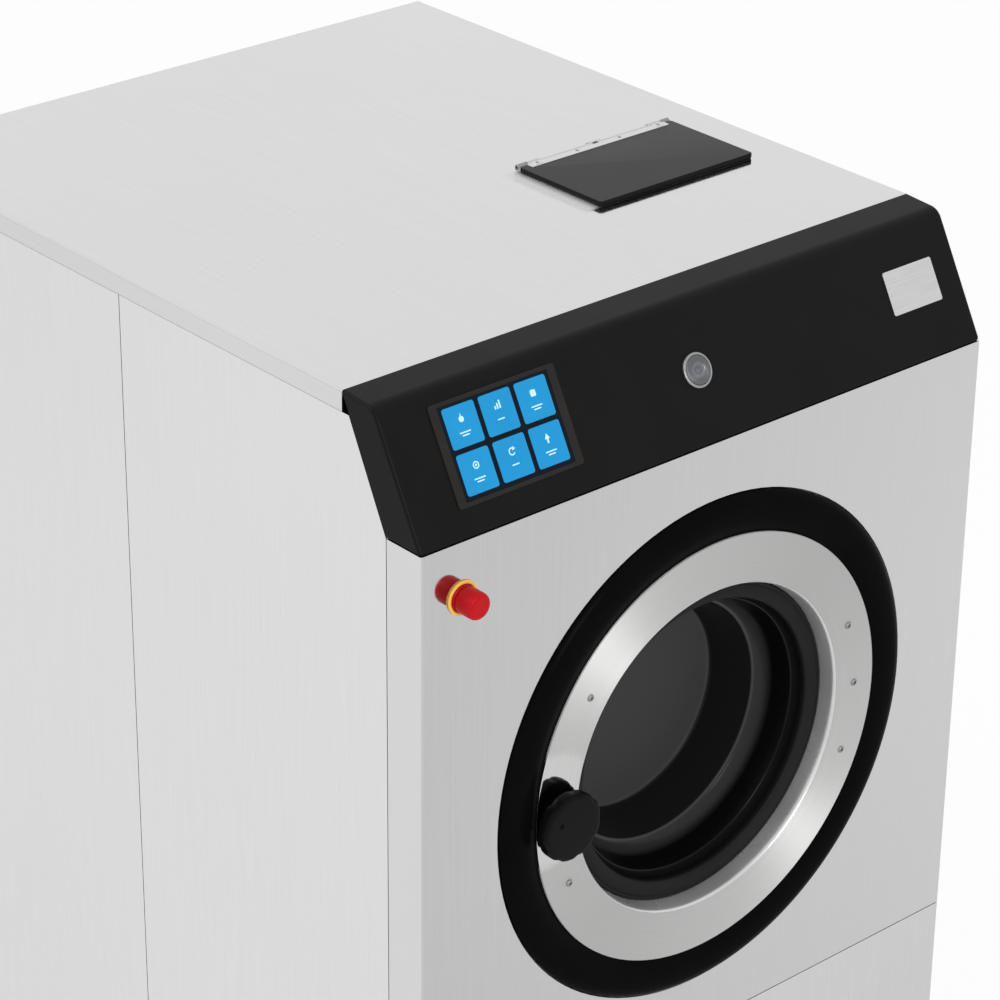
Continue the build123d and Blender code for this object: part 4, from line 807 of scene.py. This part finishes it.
def buildStartButton():
    cap = turnedPiece("startCap", startButton["rings"], 72, "caps", 35)
    paint(cap, "buttonMetal")
    dish = startButton["dish"] * mm
    secondMaterial(cap, "buttonDish", lambda centre, normal: fromAxis(centre) < dish and centre.z > 0)
    onFascia(cap, startButton["x"], startButton["rise"])
    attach(cap, "start_button")
    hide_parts("start_button")
    sign = startButton["sign"]
    low, high = sign["gap"]
    ring = arcShape("startRing", *sign["ring"], lambda angle: not low < angle < high)
    bar = movedTo(signPlate("startBar", *sign["bar"]), 0, sign["barRise"])
    mark = joinAll([ring, bar], "startMark")
    onFascia(mark, startButton["x"], startButton["rise"], sign["out"])
    dress(mark, "buttonMark", "start_button")


# emergency stop: a red head and its yellow collar with the sleeve
stopHead = {
    "place": (-300.5, -416.5, 1013.0),
    "rings": [
        (12.8, -15.5), (12.8, 2.2), (11.8, 2.8), (11.8, 4.2), (12.4, 5.0), (12.7, 7.0), (12.8, 11.0), (12.8, 19.0),
        (12.6, 20.9), (12.0, 22.4), (11.0, 23.4), (9.8, 23.9), (8.4, 24.0), (5.0, 24.0),
    ],
    "ridges": (8.4, 7.2), "ridgeTurn": (120, 62), "ridgeHigh": 0.5, "ridgeSteps": 72, "ridgeLow": 23.7,
}
stopCollar = {
    "rings": [
        (15.9, 0.0), (16.3, 0.05), (16.5, 0.3), (16.5, 1.2), (16.3, 1.8), (15.9, 2.15), (15.2, 2.2), (14.0, 2.1),
        (13.4, 1.6), (13.4, -17.8), (15.9, -17.8),
    ],
    "steps": 72, "ends": "loop", "smooth": 40,
}


def buildStop():
    head = turnedPiece("stopHead", stopHead["rings"], 64, "caps", 40)
    # three curved ridges on the face that say which way it is turned to free it
    every, long = stopHead["ridgeTurn"]
    high, steps = stopHead["ridgeHigh"], stopHead["ridgeSteps"]
    ridges = arcShape("ridges", *stopHead["ridges"], lambda angle: angle % every < long, high, steps)
    whole = joinAll([head, movedTo(ridges, 0, 0, stopHead["ridgeLow"])], "stopHead")
    standAt(whole, stopHead["place"])
    dress(whole, "stopRed", "stop_button")
    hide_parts("estop_head")
    collar = turnedPiece("stopCollar", place=stopHead["place"], **stopCollar)
    dress(collar, "stopYellow", "cabinet")
    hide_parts("estop_collar")


buildStartButton()
buildStop()
print("buttons done")

# door: black outer ring, steel ring with its rolled lip, gasket, bowl and knob; rings are radius and height outwards
outerRing = {
    "rings": [
        (218.3, 4.0), (219.0, 4.45), (221.5, 5.3), (225.0, 6.5), (229.0, 7.5), (233.0, 7.95), (238.0, 8.0),
        (242.5, 7.85), (246.0, 7.3), (249.2, 6.4), (252.0, 5.1), (254.2, 3.6), (255.7, 2.2), (256.35, 1.2),
        (256.5, 0.4), (256.5, -1.0), (254.7, -1.0), (254.7, 0.2), (251.1, 3.7), (243.1, 6.1), (231.9, 6.1),
        (220.1, 2.2), (200.0, 2.2), (200.0, 4.0),
    ],
    "steps": 192, "ends": "loop", "smooth": 34,
}
steelRing = {
    "rings": [
        (216.4, 4.0), (216.4, 5.3), (216.2, 5.7), (215.7, 5.93), (215.0, 6.0), (206.0, 6.0), (192.0, 6.0), (180.0, 6.0),
        (169.0, 6.0), (168.0, 5.9), (167.0, 5.5), (166.2, 4.8), (165.5, 3.8), (165.0, 2.5), (164.5, 0.8), (164.0, -1.6),
        (163.5, -4.8), (163.1, -8.4), (162.8, -12.4), (162.7, -17.7), (164.5, -17.7), (166.6, 2.0), (168.0, 4.0),
    ],
    "lipFrom": 167.4,
}
gasket = {
    "rings": [
        (169.0, -18.1), (162.3, -18.1), (162.2, -12.6), (161.8, -11.8), (161.0, -11.4), (159.9, -11.4), (159.3, -11.8),
        (158.9, -12.3), (158.3, -12.3), (157.8, -11.8), (157.2, -11.5), (147.5, -11.8), (145.6, -12.2), (144.2, -13.2),
        (143.5, -14.8), (143.2, -17.4), (141.6, -22.0), (139.6, -25.4), (139.0, -26.0), (169.0, -26.0),
    ],
    "steps": 144, "ends": "loop", "smooth": 40,
}
# the bowl's wall, from its back's floor out over the flange and in again to the front of the floor
glassBowl = {
    "rings": [
        (104.0, -116.6), (109.5, -116.4), (112.3, -115.2), (114.1, -112.6), (126.3, -71.4), (127.4, -69.4),
        (130.3, -67.2), (131.7, -65.0), (135.9, -46.2), (139.6, -33.8), (140.6, -32.0), (142.4, -31.5), (148.6, -31.5),
        (149.0, -31.1), (149.0, -26.5), (148.6, -26.1), (138.9, -26.1), (137.9, -26.4), (137.3, -27.4), (134.0, -45.8),
        (130.8, -55.0), (126.0, -62.2), (125.0, -63.0), (124.2, -63.2), (123.2, -63.1), (122.4, -63.6), (122.0, -65.0),
        (112.0, -106.6), (110.9, -109.4), (108.9, -111.1), (105.5, -111.6), (96.0, -111.6),
    ],
    "steps": 192, "ends": "caps", "smooth": 50,
}
knob = {
    "place": (-190.7, cabinet["frontY"], cabinet["doorZ"]), "steps": 108,
    "flutes": 9, "fluteDeep": (0.962, 0.972, 0.988), "fluteFrom": (29.2, 13.9),
    "rings": [
        (17.4, 6.3), (17.0, 6.9), (17.0, 12.2), (17.8, 13.3), (19.6, 13.9), (29.5, 14.0), (31.8, 14.5), (33.0, 15.7),
        (33.5, 17.2), (33.5, 24.2), (33.1, 25.9), (32.1, 27.2), (30.4, 27.9), (28.8, 28.0), (16.0, 28.05),
    ],
    "dot": (-15.0, 8.0), "dotRings": [(2.6, 27.6), (2.6, 28.1), (2.3, 28.16), (1.2, 28.1)],
}


def buildDoorRings():
    black = turnedPiece("doorOuterRing", place=doorPlace, **outerRing)
    dress(black, "bezelBlack", "door")
    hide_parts("door_bezel")
    bright = turnedPiece("doorSteelRing", steelRing["rings"], 192, "loop", 34)
    paint(bright, "doorSteel")
    lipFrom = steelRing["lipFrom"] * mm
    secondMaterial(bright, "lipSteel", lambda centre, normal: fromAxis(centre) < lipFrom)
    standAt(bright, doorPlace)
    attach(bright, "door")
    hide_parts("door_ring")
    soft = turnedPiece("doorGasket", place=doorPlace, **gasket)
    dress(soft, "gasketRubber", "door")
    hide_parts("door_gasket")


def buildBowl():
    bowl = turnedPiece("glassBowl", place=doorPlace, **glassBowl)
    dress(bowl, "bowlGlass", "door")
    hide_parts("door_glass")


def buildKnob():
    grip = turnedPiece("gripKnob", knob["rings"], knob["steps"], "caps")
    # shallow flutes: columns of points near each flute's middle are drawn in
    step = 360 / knob["flutes"]
    radius, height = (value * mm for value in knob["fluteFrom"])

    def columnsAway(point):
        turn = turnOf(point) % step
        return round(min(turn, step - turn) / (360 / knob["steps"]))

    for offset, share in enumerate(knob["fluteDeep"]):
        editMesh(grip)
        pickVertices(grip, lambda co: fromAxis(co) >= radius and co.z >= height and columnsAway(co) == offset)
        scaleAcross(share, share)
        leaveEdit()
    smoothEdges(grip, 30)
    standAt(grip, knob["place"])
    dress(grip, "knobBlack", "handle")
    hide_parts("handle_knob")
    dot = movedTo(turnedPiece("knobDot", knob["dotRings"], 20, "caps"), *knob["dot"])
    standAt(dot, knob["place"])
    dress(dot, "bezelBlack", "handle")


buildDoorRings()
buildBowl()
buildKnob()

# door screws: domed heads with a round socket
ringScrew = {
    "angles": (21.0, 0.5, -21.0, 144.0, 203.0), "radius": 190.7, "depth": -6.0,
    "dome": [(3.6, 0.0), (3.55, 0.5), (3.25, 1.1), (2.7, 1.55), (2.0, 1.8)],
    "socket": [(2.0, 1.8), (1.55, 1.75), (1.5, 0.6)],
    "shank": [(2.5, 0.0), (2.5, -7.6)],
}


def buildRingScrews():
    screws = []
    for angle in ringScrew["angles"]:
        dome = turnedPiece("screwDome", ringScrew["dome"], 24, "firstCap")
        socket = turnedPiece("screwSocket", ringScrew["socket"], 24, "lastCap")
        screw = joinAll([dome, socket], "ringScrew")
        cleanShell(screw)
        smoothEdges(screw, 40)
        shank = turnedPiece("screwShank", ringScrew["shank"], 16, "caps")
        screw = joinAll([screw, shank], "ringScrew")
        standAt(screw, onDoor(angle, ringScrew["radius"], ringScrew["depth"]))
        screws.append(screw)
    whole = joinAll(screws, "ringScrews")
    dress(whole, "screwSteel", "door")
    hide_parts("door_screws")


buildRingScrews()
print("door fittings done")


# hopper lid: a thin dark plate whose upward faces are painted lighter, as painted light on its top, a lip turned down
# in front and two steel ears on its axis;
# depths are measured from the cabinet's front
hopper = {
    "x": 195.0, "front": 263.0, "deep": 117.0, "wide": 201.0, "low": 1185.8, "highFront": 4.3, "highBack": 4.0,
    "corner": 3.5, "edge": 0.7, "border": 3.0, "hollow": 1.4, "axisDepth": 383.65, "axisZ": 1188.3,
    "paintedLitTopFrom": 0.995,  # how far up a face of the top looks
    "ears": (-94.3, 94.3), "earRings": [(1.7, -6.0), (2.6, -6.0), (3.0, -5.6), (3.0, 5.6), (2.6, 6.0), (1.7, 6.0)],
    "web": (12, 4.6, 2.4), "webEdge": 0.4, "webBehind": 0.4,
    "rim": (200.6, 9.0, 0.9, 3.3), "rimBehind": 4.7, "rimZ": 1185.05,
    "lip": (196.0, 0.8, 4.6), "lipEdge": 0.25, "lipBehind": 0.6, "lipZ": 1186.5,
    "stop": (6.0, 3.0, 1.2), "stopEdge": 0.3, "stopDepth": 381.0, "stopZ": 1190.2,
}
# the hinge's bright leaf on the lid's back edge, with a raised tab at each end and small screws
lidLeaf = {
    "size": (181.0, 8.6, 0.7), "corner": 1.0, "edge": 0.2, "depth": 375.6,
    "tabs": (-80.0, 80.0), "tab": (11.0, 7.0, 1.2), "tabEdge": 0.4, "tabBehind": 1.2,
    "screws": (-80.0, -28.0, 28.0, 80.0), "screwBehind": 1.0, "onTab": 1.3,
    "screwRings": [(1.9, 0.0), (1.85, 0.15), (1.6, 0.3), (1.1, 0.35), (0.9, 0.1)],
}


def lidPlace(x, depth, z):
    return (hopper["x"] + x, cabinet["frontY"] + depth, z)


def buildHopperLid():
    front, deep, high = hopper["front"], hopper["deep"], hopper["highBack"]
    lid = roundedPlate("lidShell", hopper["wide"], deep, high, hopper["corner"], 6)
    editMesh(lid)
    pickFaces(lid, facesUp)
    tilt = math.atan2(hopper["highFront"] - high, deep)
    bpy.ops.transform.rotate(value=tilt, orient_axis="X", center_override=(0, deep / 2 * mm, high * mm))
    pickFaces(lid, facesUp)
    bpy.ops.mesh.bevel(offset=hopper["edge"] * mm, segments=3, affect="EDGES")
    pickFaces(lid, lambda centre, normal: normal.z < -0.9)
    bpy.ops.mesh.inset(thickness=hopper["border"] * mm)
    bpy.ops.transform.translate(value=(0, 0, hopper["hollow"] * mm))
    leaveEdit()
    smoothEdges(lid, 40)
    movedTo(lid, *lidPlace(0, front + deep / 2, hopper["low"]))
    paint(lid, "lidPlastic")
    # painted light: the lid's upward faces are painted lighter than its edges
    secondMaterial(lid, "lidSatin", lambda centre, normal: normal.z > hopper["paintedLitTopFrom"])
    ears = []
    for x in hopper["ears"]:
        ear = turnedPiece("lidEar", hopper["earRings"], 32, "loop", 40)
        standAt(ear, lidPlace(x, hopper["axisDepth"], hopper["axisZ"]), (0, 90, 0))
        webPlace = lidPlace(x, front + deep + hopper["webBehind"], hopper["axisZ"])
        ears += [ear, bevelledBox("lidWeb", hopper["web"], webPlace, hopper["webEdge"])]
    for part in ears:
        paint(part, "screwSteel")
    rim = movedTo(roundedPlate("lidRim", *hopper["rim"]), *lidPlace(0, front + hopper["rimBehind"], hopper["rimZ"]))
    lipPlace = lidPlace(0, front + hopper["lipBehind"], hopper["lipZ"])
    lip = bevelledBox("lidLip", hopper["lip"], lipPlace, hopper["lipEdge"])
    stopPlace = lidPlace(0, hopper["stopDepth"], hopper["stopZ"])
    stop = bevelledBox("lidStop", hopper["stop"], stopPlace, hopper["stopEdge"])
    for part in (rim, lip, stop):
        paint(part, "lidPlastic")
    whole = joinAll([lid] + ears + [rim, lip, stop], "hopperLid")
    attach(whole, "hopper_lid")
    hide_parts("hopper_lid")


def buildLidLeaf():
    depth, thick = lidLeaf["depth"], lidLeaf["size"][2]
    top = hopper["low"] + hopper["highBack"]
    plate = roundedPlate("lidLeaf", *lidLeaf["size"], lidLeaf["corner"], 3, lidLeaf["edge"])
    parts = [movedTo(plate, *lidPlace(0, depth, top))]
    for x in lidLeaf["tabs"]:
        tabPlace = lidPlace(x, depth + lidLeaf["tabBehind"], top + thick)
        parts.append(bevelledBox("leafTab", lidLeaf["tab"], tabPlace, lidLeaf["tabEdge"]))
    leafSheet = joinAll(parts, "lidLeaf")
    dress(leafSheet, "leafSteel", "hopper_lid")
    screws = []
    for x in lidLeaf["screws"]:
        screw = turnedPiece("leafScrew", lidLeaf["screwRings"], 20, "caps", 40)
        lift = lidLeaf["onTab"] if x in lidLeaf["tabs"] else thick
        standAt(screw, lidPlace(x, depth + lidLeaf["screwBehind"], top + lift), (0, 0, 0))
        screws.append(screw)
    dress(joinAll(screws, "leafScrews"), "screwSteel", "hopper_lid")


buildHopperLid()
buildLidLeaf()
print("hopper lid done")

# drum: a pierced skin of many equal cells, and the pressed face of its back
drumSkin = {"radius": 265.0, "from": 74.0, "to": 553.0, "around": 72, "along": 20, "hole": 2.7, "thick": 1.2}
drumBack = {
    "rings": [
        (262.0, -552.8), (262.0, -551.9), (261.0, -551.4), (238.0, -551.4), (235.5, -550.6), (233.0, -549.2),
        (226.0, -549.2), (223.5, -550.6), (221.0, -551.4), (176.0, -551.4), (173.5, -550.6), (171.0, -549.2),
        (164.0, -549.2), (161.5, -550.6), (159.0, -551.4), (92.0, -551.4), (87.0, -549.4), (82.0, -546.8),
        (60.0, -546.4),
    ],
    "steps": 144, "ends": "caps", "smooth": 35,
}


def buildDrumSkin():
    radius, around, along = drumSkin["radius"], drumSkin["around"], drumSkin["along"]
    chord = 2 * radius * math.tan(math.pi / around)
    pitch = (drumSkin["to"] - drumSkin["from"]) / along
    dropSelection()
    bpy.ops.mesh.primitive_plane_add(size=1)
    skin = named("drumSkin")
    skin.scale = (chord * mm, pitch * mm, 1)
    bakePlace(skin)
    editMesh(skin)
    bpy.ops.mesh.subdivide(number_cuts=1)
    pickVertices(skin, lambda co: co.length < 0.5 * mm)
    bpy.ops.mesh.delete(type="VERT")
    bpy.ops.mesh.primitive_circle_add(vertices=8, radius=drumSkin["hole"] * mm)
    selectAll()
    bpy.ops.mesh.bridge_edge_loops()
    selectAll()
    extrudeUp(-drumSkin["thick"])
    # the cell's outer walls go, its hole's walls stay
    sideX, sideY = chord * 0.49 * mm, pitch * 0.49 * mm
    pickFaces(skin, lambda centre, normal: abs(centre.x) > sideX or abs(centre.y) > sideY)
    bpy.ops.mesh.delete(type="FACE")
    leaveEdit()
    cleanShell(skin)
    addModifier(
        skin, "ARRAY", count=along, use_relative_offset=False, use_constant_offset=True,
        constant_offset_displace=(0, pitch * mm, 0),
    )
    movedTo(skin, 0, cabinet["frontY"] + drumSkin["from"] + pitch / 2, -radius)
    editMesh(skin)
    turn = math.radians(360 * (around - 1) / around)
    bpy.ops.mesh.spin(steps=around - 1, dupli=True, angle=turn, center=(0, 0, 0), axis=(0, 1, 0))
    selectAll()
    bpy.ops.mesh.remove_doubles(threshold=0.02 * mm)
    leaveEdit()
    smoothEdges(skin, 20)
    movedTo(skin, 0, 0, cabinet["doorZ"])
    dress(skin, "drumSteel", "drum")
    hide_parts("drum_shell")
    print("drum skin faces:", len(skin.data.polygons))
    back = turnedPiece("drumBackFace", place=doorPlace, **drumBack)
    dress(back, "drumSteel", "drum")


buildDrumSkin()
print("drum done")

# door recess: the mouth's seal with its lips, and a ring of hexagon bolts
tubSeal = {
    "rings": [
        (164.7, -34.0), (150.0, -34.0), (150.0, -29.6), (150.6, -27.8), (152.2, -26.7), (154.2, -26.45),
        (155.0, -27.4), (156.2, -27.4), (157.0, -26.45), (160.6, -26.45), (161.4, -27.4), (162.4, -27.4),
        (163.2, -26.6), (164.7, -27.4),
    ],
    "steps": 144, "ends": "loop", "smooth": 40,
}
recessBolts = {
    "radius": 186.0, "count": 12, "first": 15.0, "depth": 28.5,
    "head": [(4.6, 1.0), (4.6, 2.5), (4.048, 3.0)], "washer": [(6.6, 0.0), (6.6, 0.7), (6.2, 1.0)],
}


def buildRecess():
    seal = turnedPiece("mouthSeal", place=doorPlace, **tubSeal)
    dress(seal, "sealRubber", "cabinet")
    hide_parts("tub_seal")
    head = turnedPiece("boltHead", recessBolts["head"], 6, "caps")
    washer = turnedPiece("boltWasher", recessBolts["washer"], 24, "caps", 40)
    pattern = joinAll([head, washer], "recessBolt")
    bolts = []
    for number in range(recessBolts["count"]):
        angle = recessBolts["first"] + 360 * number / recessBolts["count"]
        bolt = copyOf(pattern, "recessBolt")
        standAt(bolt, onDoor(angle, recessBolts["radius"], recessBolts["depth"]))
        bolts.append(bolt)
    discard(pattern)
    dress(joinAll(bolts, "recessBolts"), "screwSteel", "cabinet")


buildRecess()
print("recess done")

# back: hoods over the louvres, threads and marking rings on the inlets, the gland's cap, beads on the pipes
louvres = {
    "x": (-107.5, 107.5), "middle": 740.0, "rows": 9, "pitch": 22.0, "wide": 134.0, "radius": 9.0, "flat": 0.6,
    "thick": 0.7, "out": 1.5, "drop": 4.5,
}
inlets = {
    "x": (230.0, 170.0, 110.0), "z": 1090.0, "marks": ("valveRed", "valveBlue", "valveBlue"),
    "turns": 6, "pitch": 2.0, "threadRings": [(13.25, 0.8), (13.8, 1.5), (13.8, 1.9), (13.25, 2.6)],
    "first": [(12.9, 0.8)], "last": [(13.0, 13.0), (12.9, 12.9)],
    "markRings": [(18.3, 1.9), (19.8, 1.9), (20.3, 2.3), (20.3, 3.6), (19.8, 4.0), (18.3, 4.0)],
}
gland = {
    "x": -290.0, "z": 1040.0, "flutes": 12, "fluteFrom": 14.7, "fluteDeep": 0.955,
    "fluteTurn": (1.9, 5.7),  # degrees before a flute's middle, and its width
    "rings": [
        (13.1, 5.4), (14.9, 5.4), (15.2, 5.8), (15.2, 12.6), (14.8, 13.6), (13.8, 14.6), (12.2, 15.4), (9.4, 15.9),
        (8.6, 15.6), (8.6, 14.0), (13.1, 14.0),
    ],
}
# x, z, the pipe's radius and how far out the bead sits
pipeBeads = {"ventBead": (-200.0, 1100.0, 40.0, 22.0), "drainBead": (-60.0, 170.0, 38.0, 24.0)}
beadRings = [(-0.3, -1.6), (0.7, -1.2), (1.3, 0.0), (0.7, 1.2), (-0.3, 1.6)]


def buildLouvres():
    dropSelection()
    bpy.ops.mesh.primitive_cylinder_add(
        vertices=32, radius=louvres["radius"] * mm, depth=louvres["wide"] * mm, rotation=(0, math.radians(90), 0)
    )
    hood = bpy.context.object
    bakePlace(hood)
    editMesh(hood)
    # a quarter of the cylinder stays, flattened
    for side in ((0, 0, 1), (0, 1, 0)):
        bpy.ops.mesh.bisect(plane_co=(0, 0, 0), plane_no=side, clear_inner=True)
        selectAll()
    scaleAcross(1, louvres["flat"])
    leaveEdit()
    cleanShell(hood)
    addModifier(hood, "SOLIDIFY", thickness=louvres["thick"] * mm, offset=-1)
    smoothEdges(hood, 35)
    hoods = []
    for x in louvres["x"]:
        for row in range(louvres["rows"]):
            rise = (row - (louvres["rows"] - 1) / 2) * louvres["pitch"]
            z = louvres["middle"] + rise - louvres["drop"]
            hoods.append(movedTo(copyOf(hood, "hood"), x, cabinet["backY"] + louvres["out"], z))
    discard(hood)
    dress(joinAll(hoods, "louvreHoods"), "rearSteel", "cabinet")


def buildInlets():
    rings = list(inlets["first"])
    for turn in range(inlets["turns"]):
        rings += [(radius, height + turn * inlets["pitch"]) for radius, height in inlets["threadRings"]]
    rings += inlets["last"]
    threads, marks = [], []
    for x, mark in zip(inlets["x"], inlets["marks"]):
        thread = turnedPiece("thread", rings, 40, "loop", 50)
        onBack(thread, x, inlets["z"])
        threads.append(thread)
        collar = turnedPiece("inletMark", inlets["markRings"], 40, "loop", 40)
        onBack(collar, x, inlets["z"])
        paint(collar, mark)
        marks.append(collar)
    dress(joinAll(threads, "inletThreads"), "valvePlastic", "cabinet")
    rims = joinAll(marks, "inletMarks")
    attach(rims, "cabinet")


def buildGland():
    cap = turnedPiece("glandCap", gland["rings"], 96, "loop")
    editMesh(cap)
    step = 360 / gland["flutes"]
    radius, share = gland["fluteFrom"] * mm, gland["fluteDeep"]
    before, wide = gland["fluteTurn"]

    def inFlute(co):
        # the few columns of points round each flute's middle
        return fromAxis(co) > radius and (turnOf(co) + before) % step < wide

    pickVertices(cap, inFlute)
    scaleAcross(share, share)
    leaveEdit()
    smoothEdges(cap, 25)
    onBack(cap, gland["x"], gland["z"])
    dress(cap, "glandNylon", "cabinet")


def buildPipeBeads():
    for name, (x, z, pipe, out) in pipeBeads.items():
        bead = turnedPiece(name, [(pipe + more, height) for more, height in beadRings], 72, "loop", 60)
        onBack(bead, x, z, out)
        if name == "ventBead":
            dress(bead, "rearSteel", "cabinet")
        else:
            dress(bead, "valvePlastic", "cabinet")


buildLouvres()
buildInlets()
buildGland()
buildPipeBeads()
print("back done")


# camera in metres and degrees, lamps in metres and watts, floor
camera = {"place": (-2.0555, -2.46459, 2.46827), "turn": (63.2057, -0.5180, -40.9970), "lens": 129.675, "sensor": 36}
studio = {
    "world": 0.75,
    "key": {"place": (-3.2, 1.6, 4.6), "size": 3.2, "power": 90.0},
    "fill": {"place": (-1.2, -5.0, 2.9), "size": 1.9, "power": 80.0}, "aim": (0, 0, 0.6),
    "floor": 0.86, "floorSize": 30, "floorZ": -0.0005, "paperSeen": 0.93, "paperMirrored": 0.3,
}


def raysOf(tree, *kinds):
    # one for rays of any of these kinds
    paths = addNode(tree, "LightPath").outputs
    seen = paths[kinds[0]]
    for kind in kinds[1:]:
        seen = mathNode(tree, "MAXIMUM", seen, paths[kind])
    return seen


def mixInto(tree, share, first, second, socket):
    mix = addNode(tree, "MixShader", {"Fac": share, 1: first.outputs[0], 2: second.outputs[0]})
    tree.links.new(mix.outputs[0], socket)


def background(tree, strength):
    return addNode(tree, "Background", {"Color": rgba(1.0), "Strength": strength})


def buildWorld():
    # what the camera, mirrors and glass see is plain white
    world = bpy.data.worlds.new("studioWorld")
    bpy.context.scene.world = world
    world.use_nodes = True
    tree = world.node_tree
    tree.nodes.clear()
    surface = addNode(tree, "OutputWorld").inputs["Surface"]
    seen = raysOf(tree, "Is Camera Ray", "Is Glossy Ray", "Is Transmission Ray")
    mixInto(tree, seen, background(tree, studio["world"]), background(tree, 1.0), surface)


def buildLamp(name, values):
    bpy.ops.object.light_add(type="AREA", location=values["place"])
    lamp = bpy.context.object
    lamp.name = name
    lamp.data.shape = "DISK"
    lamp.data.size = values["size"]
    lamp.data.energy = values["power"]
    aim = Vector(studio["aim"]) - Vector(values["place"])
    lamp.rotation_euler = aim.to_track_quat("-Z", "Y").to_euler()


def buildFloor():
    dropSelection()
    bpy.ops.mesh.primitive_plane_add(size=studio["floorSize"], location=(0, 0, studio["floorZ"]))
    floor = bpy.context.object
    floor.name = "studioFloor"
    bakePlace(floor)
    material, tree, shader = startMaterial("floorPaper", studio["floor"], 0.0, 0.9)
    mirrored = raysOf(tree, "Is Glossy Ray", "Is Transmission Ray")
    seen = mathNode(tree, "MULTIPLY", raysOf(tree, "Is Camera Ray"), studio["paperSeen"])
    share = mathNode(tree, "ADD", seen, mathNode(tree, "MULTIPLY", mirrored, studio["paperMirrored"]))
    mixInto(tree, share, shader, addNode(tree, "Emission"), tree.nodes["Material Output"].inputs["Surface"])
    floor.data.materials.append(material)


def buildCamera():
    bpy.ops.object.camera_add(location=camera["place"], rotation=[math.radians(value) for value in camera["turn"]])
    eye = bpy.context.object
    eye.name = "photoCamera"
    eye.data.sensor_width = camera["sensor"]
    eye.data.lens = camera["lens"]
    bpy.context.scene.camera = eye


buildWorld()
buildLamp("keyLamp", studio["key"])
buildLamp("fillLamp", studio["fill"])
buildFloor()
buildCamera()
bpy.context.scene.view_settings.view_transform = "Standard"

print("pieces done")
